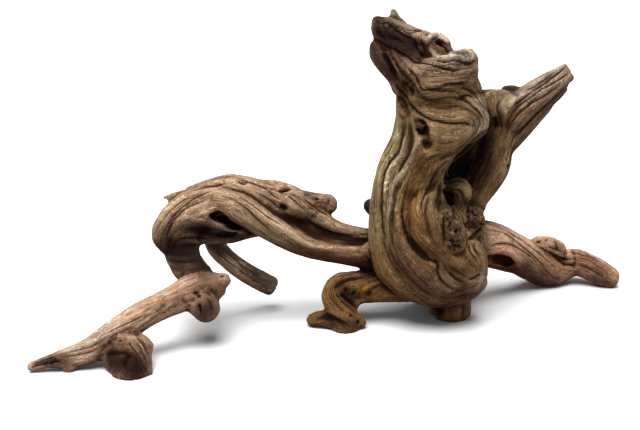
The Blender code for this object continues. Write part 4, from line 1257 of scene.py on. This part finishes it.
def flat_on_skin(tables, outward):
    """The direction of each table, laid in the plane square to `outward`."""
    flat = np.eye(3) - outward[:, :, None] * outward[:, None, :]
    return longest_axis(flat @ tables[:, SQUARE].reshape(-1, 3, 3) @ flat)


grain = flat_on_skin(grain_tables, normals)
print("the grain leans", np.degrees(np.arcsin(np.abs(grain[:, 2]))).mean().round(), "degrees on average")

# %% [markdown]
# Wood grain is long and thin: fibres, flutes and the bands of its rings all run one way. Noise that is only
# stretched along an axis would do for a plank, but a root bends. To draw streaks along its grain, a point is
# walked along it, a step at a time, and the noise met on the way is averaged: what lies along the grain
# agrees, and what lies across it doesn't. Every point walks at the same time, and looks its next direction
# up in a block of 3 mm cells.

# %% The grain in a block of cells
CELL = 3.0      # mm
MARGIN = 4 * CELL
GROWTH = 3      # how many cells the skin's directions spread inwards and outwards
LOWEST = points.min(0) - MARGIN
SHAPE = tuple(np.ceil((points.max(0) + MARGIN - LOWEST) / CELL).astype(int))


def cell_of(place):
    """The number of the cell that each point lies in."""
    at = ((place - LOWEST) / CELL).astype(int)
    at = np.clip(at, 0, np.array(SHAPE) - 1)
    return np.ravel_multi_index(at.T, SHAPE)


cells = cell_of(points)
sums = np.stack([
    np.bincount(cells, weights=column, minlength=int(np.prod(SHAPE))) for column in tables_of(grain).T
], 1).reshape(*SHAPE, 6)
for _ in range(GROWTH):
    blank = np.abs(sums).sum(3) < TINY
    around = sum(np.roll(sums, way, axis) for axis in range(3) for way in (1, -1))
    sums = np.where(blank[..., None], around, sums)
sums = sums.reshape(-1, 6)
filled = np.abs(sums).sum(1) > TINY
field = np.zeros((len(sums), 3))
field[filled] = longest_axis(sums[filled][:, SQUARE].reshape(-1, 3, 3))
print(int(filled.sum()), "of", len(field), "cells know their grain")

# %% Smooth noise
LATTICE_SIDE = 64
LATTICE = np.random.default_rng(7).random((LATTICE_SIDE,) * 3) * 2 - 1


def noise(place, size, shift=0):
    """Smooth noise between -1 and 1: random values at the corners of cubes of that size, blended inside."""
    spot = place / size + shift
    whole = np.floor(spot).astype(int)
    part = spot - whole
    part = part * part * (3 - 2 * part)     # runs level at both ends, so no edge shows between cubes
    total = 0
    for corner in itertools.product((0, 1), repeat=3):
        weight = np.prod(np.where(corner, part, 1 - part), axis=1)
        i, j, k = ((whole + corner) % LATTICE_SIDE).T
        total = total + weight * LATTICE[i, j, k]
    return total


print("noise of 5 mm runs from", noise(points, 5).min().round(2), "to", noise(points, 5).max().round(2))

# %% Noise drawn out along the grain
def streaks(size, reach, shift=0):
    """Noise averaged over `reach` mm along the grain both ways, with its mean at 0 and its spread at 1."""
    step = min(size / 2, CELL)
    total = noise(points, size, shift)
    for way in (1, -1):
        place, heading = points.copy(), way * grain
        for _ in range(int(reach / step)):
            found = field[cell_of(place)]
            found = found * np.sign((found * heading).sum(1, keepdims=True) + SLIGHT)   # no turning back
            heading = np.where(np.abs(found).sum(1, keepdims=True) > 0, found, heading)
            place = place + step * heading
            total = total + noise(place, size, shift)
    return (total - total.mean()) / total.std()


broad = streaks(11, 45, 3)      # swellings 11 mm wide and 90 mm long
flute = streaks(5.5, 32, 17)    # flutes between the strands of the wood
fibre = streaks(2.4, 16, 31)    # bundles of fibre, about the finest that the net can hold
print("streaks along the grain, each with its share above 1:",
      [round(float((one > 1).mean()), 2) for one in (broad, flute, fibre)])

# %% [markdown]
# The carving itself: the drawn lines first, then the flutes of the whole skin. A groove's section is a soft
# V, and a ridge's is a bell. Thin roots get less of both, because weather rounds them. Nothing moves at the
# soles, which stay flat on the ground.
#
# The net is too coarse for the black hair of a crack, so each point also stores how far it lies to the left
# or right of the nearest crack. That number runs evenly through zero on the crack, wherever the points lie,
# and the material draws a sharp line there.

# %% The section of a line
SHARPNESS = 1.5
V_SHARE = 0.4


def taper_of(share):
    """1 in a line's middle half and near nothing at its ends: the root of four times what is left of it."""
    return np.sqrt(np.clip(np.minimum(share, 1 - share) * 4, 0.01, 1))


def section(gap, groove):
    """A line's height at `gap` half widths from its middle: a bell, exp(-1.5 gap^2), and 0.4 V in a groove."""
    bell = np.exp(-gap**2 * SHARPNESS)
    return V_SHARE * np.clip(1 - gap, 0, 1) + (1 - V_SHARE) * bell if groove else bell


gaps = np.array([0, 0.5, 1, 1.5])
print("at", gaps, "half widths a groove is", section(gaps, True).round(2), "deep")

# %% The side of a crack
def beside(offset, run, outward):
    """How far each offset from a crack reaches along the skin, and the same signed by the crack's side."""
    offset = offset - (offset * outward).sum(1, keepdims=True) * outward
    flat = np.linalg.norm(offset, axis=1)
    return flat, np.copysign(flat, (offset * unit(np.cross(run, outward))).sum(1))


print("3 mm to the left and 1 mm up count as", beside(np.array([[3.0, 0, 1]]), [0, 1, 0], np.eye(3)[2:])[1])

# %% Carving along the lines
WIDEST_CRACK = 3        # mm; a wider groove is a trough and has no black line
FINEST_GROOVE = 2.1     # mm; the net can hold no finer one
HAIR_WINDOW = 4.5       # mm; how far beside a crack its distance is kept
CRACK_REACH = 6.5       # mm; no point farther from a crack belongs to it
FULL_TO, NONE_FROM = 1.8, 4.8       # mm; where a crack's say begins to fade, and where it ends
BOX_MARGIN = 1.6        # half widths around a line's own box
SHADE_TO = 1.25         # half widths
SHORTEST_LINE = 5       # points; anything shorter is a pit
CRACK_SHADOW = 0.25     # the soft shade around a crack, whose black line comes later
FAR_OFF = 9.0           # mm; stands for no crack near


def carve(place, outward, wide):
    """How the lines, either the wide ones or the thin ones, move the skin along `outward`.

    Returns the movement, the soft dark around the lines, the distance to the nearest crack, signed by its
    side, and how strongly that crack is drawn.
    """
    moved, dark = np.zeros(COUNT), np.zeros(COUNT)
    side, say = np.full(COUNT, FAR_OFF), np.zeros(COUNT)
    for (_, width, height, shade, _), hits, share, runs in dropped:
        if not len(hits) or not height or (width > WIDEST_CRACK) != wide:
            continue
        near = boxed(place, hits, max(BOX_MARGIN * width, HAIR_WINDOW))
        if not len(near):
            continue
        apart = distances(place[near], hits)
        closest = apart.argmin(1)
        apart = apart[np.arange(len(near)), closest]
        long_line = len(hits) > SHORTEST_LINE
        taper = taper_of(share)[closest] if long_line else 1.0
        gap = apart / (max(width, FINEST_GROOVE if long_line else 0) * (0.5 + 0.5 * taper))
        moved[near] += height * taper * section(gap, height < 0)
        crack = long_line and shade and height < 0 and not wide
        soft = shade * (CRACK_SHADOW if crack else 1)
        dark[near] = np.maximum(dark[near], soft * taper * np.clip(SHADE_TO - gap, 0, 1))
        if crack:
            flat, signed = beside(place[near] - hits[closest], runs[closest], outward[near])
            nearer = (flat < np.abs(side[near])) & (apart < CRACK_REACH)
            side[near[nearer]] = signed[nearer]
            fading = np.clip((NONE_FROM - flat) / (NONE_FROM - FULL_TO), 0, 1)
            say[near[nearer]] = (shade * taper * fading)[nearer]
    return moved, dark, side, say


print(sum(1 for row, *_ in dropped if row[1] > WIDEST_CRACK), "of the lines are wide")

# %% Carving the wide lines
GUARDED = 4     # mm above the ground


def sole_guard(place):
    """0 on the ground, 1 from 4 mm above it."""
    return np.clip(place[:, 2] / GUARDED, 0, 1)


moved, dark_wide, _, _ = carve(points, normals, wide=True)
moved = spread(moved, 1, 0.5) * sole_guard(points)
points = points + moved[:, None] * normals
normals = normals_of(points)
print("the wide lines go", -moved.min().round(1), "mm in and", moved.max().round(1), "mm out")

# %% Carving the flutes, the crags and the thin lines
BROAD, FLUTE, FIBRE, CRAGS = 0.5, 0.3, 0.2, 1.5     # mm
FULLY_FLUTED = 14       # mm of radius; a slimmer root is rounder
slim = np.clip(thickness / FULLY_FLUTED, 0.25, 1)
crease = -np.abs(flute) ** 0.7 + 0.75       # a narrow edge wherever the flutes' noise goes through nothing
crags = 0.9 - 2.6 * np.abs(noise(points, 5.2, 5)) - 1.3 * np.abs(noise(points, 2.8, 9))   # pits with thin walls
relief = BROAD * broad + FLUTE * crease + FIBRE * fibre + CRAGS * crumbled * crags
moved, dark_thin, crack_side, crack_say = carve(points, normals, wide=False)
moved = (moved + relief * slim) * sole_guard(points)
points = points + moved[:, None] * normals
points[:, 2] = np.maximum(points[:, 2], 0)
normals = normals_of(points)
print("carved; the skin now spans", points.min(0).round(1), "to", points.max(0).round(1), "mm")
# %% [markdown]
# Weather colours wood by its shape, and the material paints light by it too. Ridges are lighter, partly as
# sun and rubbing leave them and partly as a painted highlight, and grooves and folds are darker, partly from
# dirt and partly as painted shade. A baked occlusion picture would say which is which, but it would need an
# image. How far a point stands above or below its smoothed self says it too, and it is one subtraction. It is
# measured at three sizes: single fibres, flutes, and whole folds.

# %% How far each point stands out
FIBRE_SIZE, FLUTE_SIZE, FOLD_SIZE = (3, 0.35), (16, 1.2), (70, 4.0)     # smoothing passes, and mm
UNDERSIDE_SMOOTHING = 8     # passes


def standing(passes, height):
    """How far a point stands out of its surroundings: (point - smoothed point) . normal / height, to -1..1."""
    return np.clip(((points - spread(points, passes)) * normals).sum(1) / height, -1, 1)


measures = {
    "broad": broad, "flute": flute, "fibre": fibre,
    "crack_side": crack_side, "crack_say": crack_say,
    "fine_relief": standing(*FIBRE_SIZE),
    "middle_relief": standing(*FLUTE_SIZE),
    "wide_relief": standing(*FOLD_SIZE),
    "dark": np.maximum(spread(dark_wide, 1), dark_thin),
    # painted shade: how far the smoothed skin faces down, so that what faces down is darker
    "painted_underside_shade": np.clip(-spread(normals, UNDERSIDE_SMOOTHING)[:, 2], 0, 1),
    "crumbled": crumbled,
    **{"on_" + title: share for title, share in member.items()},
    **tints,
}
print("points that look down:", int((measures["painted_underside_shade"] > 0.5).sum()))

# %% [markdown]
# The carved net becomes one mesh. Its points already lie where they belong, so the object stays at the
# origin, unturned and unscaled. Each measure goes with it as an attribute, a number on every point that the
# material reads by name. A pattern that follows the grain could be unwrapped to a flat map instead, but a
# branched root has no good seams, and attributes need none.

# %% The driftwood's mesh
wood_net = bpy.data.meshes.new("driftwood_skin")
wood_net.from_pydata(points * MM, [], triangles.tolist())
wood_net.shade_smooth()
for title, values in measures.items():
    column = wood_net.attributes.new(title, "FLOAT", "POINT")
    column.data.foreach_set("value", values.astype(np.float32))

driftwood = bpy.data.objects.new("driftwood_skin", wood_net)
bpy.context.scene.collection.objects.link(driftwood)
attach(driftwood, "root")
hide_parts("driftwood")
print("driftwood_skin:", len(wood_net.polygons), "triangles and", len(measures), "measures on each point")

# %% [markdown]
# The finish is bare weathered root wood. Nobody made this surface: bark came off, salt water and sun took
# the soft parts out between the fibres, and sand rubbed the ridges. To the eye that gives a dry, matt,
# streaky brown with pale rubbed ridges, black cracks, and hardly any shine. The material could paint the
# whole pattern in one noise, but then nothing would follow the shape. So it starts from one colour for each
# root and lays stains over it, one at a time, each by its own measure. Some stains are painted light: painted
# shade in grooves, hollows and undersides, and painted highlights on ridges and tops. Colours are sRGB hex
# values.

# %% Helpers for the material
def linear(hex_code):
    """A hex colour as linear red, green, blue and alpha: c / 12.92 when dark, else ((c + 0.055) / 1.055)^2.4."""
    part = np.array([int(hex_code[i:i + 2], 16) / 255 for i in (1, 3, 5)])
    low, high = part / 12.92, ((part + 0.055) / 1.055) ** 2.4
    return (*np.where(part <= 0.04045, low, high), 1.0)


def material(name):
    """A new material, and its nodes."""
    made = bpy.data.materials.new(name)
    made.use_nodes = True
    return made, made.node_tree


wood, wood_nodes = material("weathered_mangrove_wood")


def add(kind, inputs, output=0, **settings):
    """Adds a node to the wood and returns one output. An input that is a socket is linked, others are set."""
    node = wood_nodes.nodes.new("ShaderNode" + kind)
    for name, value in settings.items():
        setattr(node, name, value)
    for place, value in inputs.items():
        if isinstance(value, bpy.types.NodeSocket):
            wood_nodes.links.new(value, node.inputs[place])
        else:
            node.inputs[place].default_value = value
    return node.outputs[output]


# The inputs of the two nodes used most, and the output of a Mix node that mixes colours.
VALUE, FROM_LOW, FROM_HIGH, TO_LOW, TO_HIGH = range(5)
SHARE, BELOW, ABOVE, MIXED = 0, 6, 7, 2
print("the palest tint in linear light:", [round(float(c), 3) for c in linear("#B79A80")])

# %% [markdown]
# Two kinds of pattern are needed. What follows the grain is noise read at the point (flute, broad, fibre):
# those measures hardly change along the grain, so the noise comes out as streaks. What doesn't, such as
# specks of rot and patches of weather, is noise read at Object coordinates, in metres. Real fibres are a
# twentieth of a millimetre wide, too fine to show, so the finest streaks are drawn at about 0.6 mm.

# %% Patterns
PER_METRE = 1000
value_of = {title: add("Attribute", {}, "Fac", attribute_name=title) for title in measures}
along_grain = add("CombineXYZ", {
    0: value_of["flute"], 1: value_of["broad"],
    2: add("Math", {0: value_of["fibre"], 1: 0.3}, operation="MULTIPLY"),
})
in_place = add("TexCoord", {}, "Object")
for title, where, scale, detail, roughness in (
    ("fine", along_grain, 1.7, 3.0, 0.6),                   # streaks about 1.6 mm wide
    ("hair", along_grain, 4.5, 2.0, 0.6),                   # streaks about 0.6 mm wide
    ("speckle", in_place, PER_METRE / 2.2, 3.0, 0.7),       # specks of 2 mm
    ("porous", in_place, PER_METRE / 3.8, 3.0, 0.75),       # rotten pores of 4 mm
    ("patch", in_place, PER_METRE / 22, 4.0, 0.6),          # weather patches of 22 mm
):
    value_of[title] = add("TexNoise", {"Vector": where, "Scale": scale, "Detail": detail, "Roughness": roughness})
fine, patch = value_of["fine"], value_of["patch"]
print("the material reads", len(value_of), "measures and patterns")

# %% [markdown]
# Cracks come in two kinds. Hair cracks lie wherever the streaks cross one value, which is a thin line along
# the grain. The drawn cracks lie where the stored distance to them is nought, and the streaks make them
# wander by less than a millimetre, as a real split steps from fibre to fibre.

# %% Cracks
WANDER = 1.6    # mm from side to side
for title, field, level, width, patches in (
    ("thin_cracks", fine, 0.5, 0.035, (0.42, 0.58)),
    ("hair_cracks", value_of["hair"], 0.52, 0.05, (0.6, 0.45)),
):
    away = add("Math", {0: add("Math", {0: field, 1: level}, operation="SUBTRACT")}, operation="ABSOLUTE")
    where = add("MapRange", {VALUE: patch, FROM_LOW: patches[0], FROM_HIGH: patches[1]})
    value_of[title] = add("MapRange", {VALUE: away, FROM_LOW: width, FROM_HIGH: 0.0, TO_HIGH: where})

wandered = add("Math", {0: fine, 1: WANDER, 2: value_of["crack_side"]}, operation="MULTIPLY_ADD")
centred = add("Math", {0: wandered, 1: WANDER / 2}, operation="SUBTRACT")
crack_width = add("MapRange", {
    VALUE: value_of["crack_say"], FROM_LOW: 0.2, FROM_HIGH: 1.0, TO_LOW: 0.3, TO_HIGH: 0.85,
})
value_of["drawn_cracks"] = add("MapRange", {
    VALUE: add("Math", {0: centred}, operation="ABSOLUTE"), FROM_LOW: crack_width, FROM_HIGH: 0.15,
    TO_HIGH: add("MapRange", {VALUE: value_of["crack_say"], FROM_LOW: 0.05, FROM_HIGH: 0.6}),
})
print("three kinds of cracks take", len(wood_nodes.nodes), "nodes so far")

# %% [markdown]
# The ground colour differs from root to root: the trunk is olive, the head grey, the curled foot orange,
# the leg and the right limb bleached. Each runs between two colours with the broad streaks. The brushed
# tints go over them in the order of the table.

# %% Ground colours and tints
GROUND = {
    "trunk": ("#54442B", "#705F42"), "head": ("#6A594A", "#887663"), "branch": ("#564536", "#726051"),
    "arch": ("#66523E", "#83705A"), "limb": ("#96765F", "#B8967D"), "leg": ("#826B58", "#A68C77"),
    "curl": ("#523A20", "#6E5432"),
}
# the umber tint and the shade-brown tint are painted shade, and the palest tint is a painted highlight
TINTS = {
    "sap_green": "#696446", "silver": "#989080", "painted_top_highlight": "#B79A80", "ochre": "#68471F",
    "damp_purple": "#4C382C", "painted_shade_brown": "#4A3119", "moss": "#2F2E1C", "red_heart": "#3F2918",
    "painted_shade_umber": "#25140A",
}
streak = add("MapRange", {VALUE: value_of["broad"], FROM_LOW: -1.8, FROM_HIGH: 1.8})
ground = linear("#624F37")
for title, (low, high) in GROUND.items():
    own = add("Mix", {SHARE: streak, BELOW: linear(low), ABOVE: linear(high)}, MIXED, data_type="RGBA")
    here = add("MapRange", {VALUE: value_of["on_" + title], FROM_LOW: 0.2, FROM_HIGH: 0.8})
    ground = add("Mix", {SHARE: here, BELOW: ground, ABOVE: own}, MIXED, data_type="RGBA")
for title, colour in TINTS.items():
    ground = add("Mix", {SHARE: value_of[title], BELOW: ground, ABOVE: linear(colour)}, MIXED, data_type="RGBA")
print(len(GROUND), "ground colours and", len(TINTS), "tints")

# %% [markdown]
# Then the stains, from the widest to the thinnest. A row says which measure the stain follows, where that
# measure starts to show and where it shows in full, how much it may show, and the colour, which multiplies
# what is below or covers it. A factor above one lightens: it pales the grain's streaks, and on the ridges it
# is rubbed wear and a painted highlight. The leg and the right limb are evener than the rest, so they take
# less of it. Several stains are painted shade: grooves and folds darken, partly as dirt, what faces down
# darkens, the darkest tint darkens once more, and the drawn lines and holes go near-black with shade and
# dirt. Rotten wood is brown crumbs with black pores between them.

# %% Stains
TIMES, OVER = "MULTIPLY", "MIX"
evenness = add("Math", {0: value_of["on_limb"], 1: 0.6, 2: value_of["on_leg"]}, operation="MULTIPLY_ADD")
# how far the grain streaks may lighten, and the ridges' painted highlight: less on the leg and the right limb
pale_grain_and_highlight = add("MapRange", {VALUE: evenness, FROM_LOW: 0.2, FROM_HIGH: 0.8, TO_LOW: 1.0, TO_HIGH: 0.4})
crumbs = add("MapRange", {VALUE: value_of["porous"], FROM_LOW: 0.48, FROM_HIGH: 0.72})
rotten = add("Mix", {SHARE: crumbs, BELOW: linear("#170C06"), ABOVE: linear("#85674F")}, MIXED, data_type="RGBA")
# painted shade and dirt: the soft dark of the drawn lines, made ragged by the streaks
value_of["ragged_line_shade_and_dirt"] = add("Math", {0: fine, 1: 0.6, 2: value_of["dark"]}, operation="MULTIPLY_ADD")
STAINS = (
    ("fine", 0.5, 0.72, pale_grain_and_highlight, TIMES, (1.4, 1.4, 1.42, 1)),
    ("fine", 0.5, 0.32, 0.7, TIMES, linear("#A87C50")),
    ("hair", 0.52, 0.7, pale_grain_and_highlight, TIMES, (1.3, 1.3, 1.32, 1)),
    ("hair", 0.52, 0.32, 0.8, TIMES, linear("#94693F")),
    ("patch", 0.5, 0.68, 0.42, TIMES, linear("#B08A62")),
    ("speckle", 0.55, 0.75, 0.5, TIMES, linear("#8F6A48")),
    # painted shade, with dirt: darker wherever the skin lies below its smoothed self, in fibres, flutes and whole
    # folds
    ("fine_relief", 0.1, -0.7, 0.65, TIMES, linear("#7D5230")),
    ("middle_relief", 0.0, -0.8, 0.5, TIMES, linear("#8F6238")),
    ("wide_relief", 0.0, -0.8, 0.65, TIMES, linear("#946A40")),
    # painted highlight, with rubbed wear: ridges that stand out are lighter
    ("middle_relief", 0.1, 0.9, pale_grain_and_highlight, TIMES, (1.55, 1.57, 1.62, 1)),
    ("crumbled", 0.25, 0.7, 0.8, OVER, rotten),
    ("thin_cracks", 0.0, 1.0, 0.85, TIMES, linear("#4A3020")),
    ("hair_cracks", 0.0, 1.0, 0.6, TIMES, linear("#5A4030")),
    # painted shade: what faces down is darker
    ("painted_underside_shade", 0.0, 0.8, 0.95, TIMES, linear("#8A5227")),
    ("drawn_cracks", 0.0, 1.0, 0.92, OVER, linear("#1A0F08")),
    # painted shade: the darkest tint is darkened once more
    ("painted_shade_umber", 0.0, 1.0, 0.75, TIMES, linear("#7A5A44")),
    # painted shade and dirt: near-black in the drawn lines and holes
    ("ragged_line_shade_and_dirt", 0.62, 0.95, 0.9, OVER, linear("#150C06")),
)
colour = ground
for title, starts, full, most, way, stain in STAINS:
    share = add("MapRange", {VALUE: value_of[title], FROM_LOW: starts, FROM_HIGH: full, TO_HIGH: most})
    colour = add("Mix", {SHARE: share, BELOW: colour, ABOVE: stain}, MIXED, data_type="RGBA", blend_type=way)
print(len(STAINS), "stains over the ground colour")

# %% [markdown]
# The net shows folds, flutes and grooves as real shape. Fibres are finer than the net, so the shader tilts
# the surface for them, by a height of up to about 2 mm at the rotten pores and well under 1 mm elsewhere.
# The wood is rough all over. Only ridges that sand has rubbed are a little smoother, and dry wood reflects
# much less than varnish, so the specular level is low.

# %% Relief, sheen and the finished wood
pores = add("MapRange", {VALUE: value_of["crumbled"], FROM_LOW: 0.25, FROM_HIGH: 0.7, TO_HIGH: value_of["porous"]})
height = add("Math", {0: fine, 1: 0.6}, operation="MULTIPLY")
for field, rise in ((value_of["hair"], 0.3), (value_of["thin_cracks"], -0.12), (value_of["drawn_cracks"], -0.5),
                    (value_of["speckle"], 0.12), (pores, 1.2)):
    height = add("Math", {0: field, 1: rise, 2: height}, operation="MULTIPLY_ADD")
tilted = add("Bump", {"Strength": 1.0, "Distance": 2.2 * MM, "Height": height})
rubbed = add("Math", {0: fine, 1: 0.8, 2: value_of["middle_relief"]}, operation="MULTIPLY_ADD")
wood_shader = wood_nodes.nodes["Principled BSDF"]
for place, socket in (("Base Color", colour), ("Normal", tilted),
                      ("Roughness", add("MapRange", {VALUE: rubbed, TO_LOW: 0.95, TO_HIGH: 0.68}))):
    wood_nodes.links.new(socket, wood_shader.inputs[place])
wood_shader.inputs["Specular IOR Level"].default_value = 0.07
wood_net.materials.append(wood)
print("the wood has", len(wood_nodes.nodes), "nodes")

# %% [markdown]
# The floor stands for the white paper sweep of a studio: matt, even and without shine, so that nothing
# under the wood catches the eye. A single big square does, as it has to show no edge and no pattern.

# %% The floor
FLOOR_HALF_WIDTH = 8.0      # m
FLOOR_REFLECTS = 0.5
corners = [(FLOOR_HALF_WIDTH * x, FLOOR_HALF_WIDTH * y, 0) for x, y in ((-1, -1), (1, -1), (1, 1), (-1, 1))]
floor_net = bpy.data.meshes.new("floor")
floor_net.from_pydata(corners, [], [(0, 1, 2, 3)])
floor = bpy.data.objects.new("floor", floor_net)
bpy.context.scene.collection.objects.link(floor)
paper, paper_nodes = material("white_matt_paper")
for place, value in (("Base Color", (*[FLOOR_REFLECTS] * 3, 1)), ("Roughness", 0.9), ("Specular IOR Level", 0.0)):
    paper_nodes.nodes["Principled BSDF"].inputs[place].default_value = value
floor_net.materials.append(paper)
print("the floor is", 2 * FLOOR_HALF_WIDTH, "m wide")

# %% [markdown]
# The photograph has soft light from above and a little from the left, and its shadows have no hard edge.
# An area lamp close by would light the near roots more than the far ones, so a sun with a very wide disc
# takes the place of a softbox: it is equally strong everywhere. A dim white sky fills the shadows.

# %% Light
SKY_STRENGTH = 0.45
LAMP_ABOVE_HORIZON, LAMP_LEFT_OF_FRONT, LAMP_DISC = 74, 30, 48      # degrees
LAMP_STRENGTH = 9.6     # W on each square metre
sky = bpy.data.worlds.new("studio")
sky.use_nodes = True
sky.node_tree.nodes["Background"].inputs["Color"].default_value = (1, 1, 1, 1)
sky.node_tree.nodes["Background"].inputs["Strength"].default_value = SKY_STRENGTH
bpy.context.scene.world = sky

softbox = bpy.data.lights.new("overhead_softbox", "SUN")
softbox.angle = math.radians(LAMP_DISC)
softbox.energy = LAMP_STRENGTH
lamp = bpy.data.objects.new("overhead_softbox", softbox)
lamp.rotation_euler = (math.radians(90 - LAMP_ABOVE_HORIZON), 0, -math.radians(LAMP_LEFT_OF_FRONT))
bpy.context.scene.collection.objects.link(lamp)
print("a lamp", LAMP_ABOVE_HORIZON, "degrees above the horizon, over a disc of", LAMP_DISC, "degrees")

# %% [markdown]
# The camera stands where the front view was looked at from. The sheet is 640 mm wide at 1.2 m, so a lens
# of 36 mm * 1200 / 640 = 67.5 mm makes one millimetre of the sheet one pixel of the photograph. The
# standard view transform leaves the colours as they were matched.

# %% Camera
SENSOR = 36     # mm
lens = bpy.data.cameras.new("camera")
lens.sensor_width = SENSOR
lens.lens = SENSOR * EYE_DISTANCE / (2 * SHEET_MIDDLE[0])
camera = bpy.data.objects.new("camera", lens)
camera.location = (EYE - FOOTPRINT_MIDDLE) * MM
camera.rotation_euler = (math.pi / 2 - LOOK_DOWN, 0, 0)
bpy.context.scene.collection.objects.link(camera)
bpy.context.scene.camera = camera
bpy.context.scene.view_settings.view_transform = "Standard"
print("the camera stands at", [round(x, 3) for x in camera.location], "m with a lens of", lens.lens, "mm")
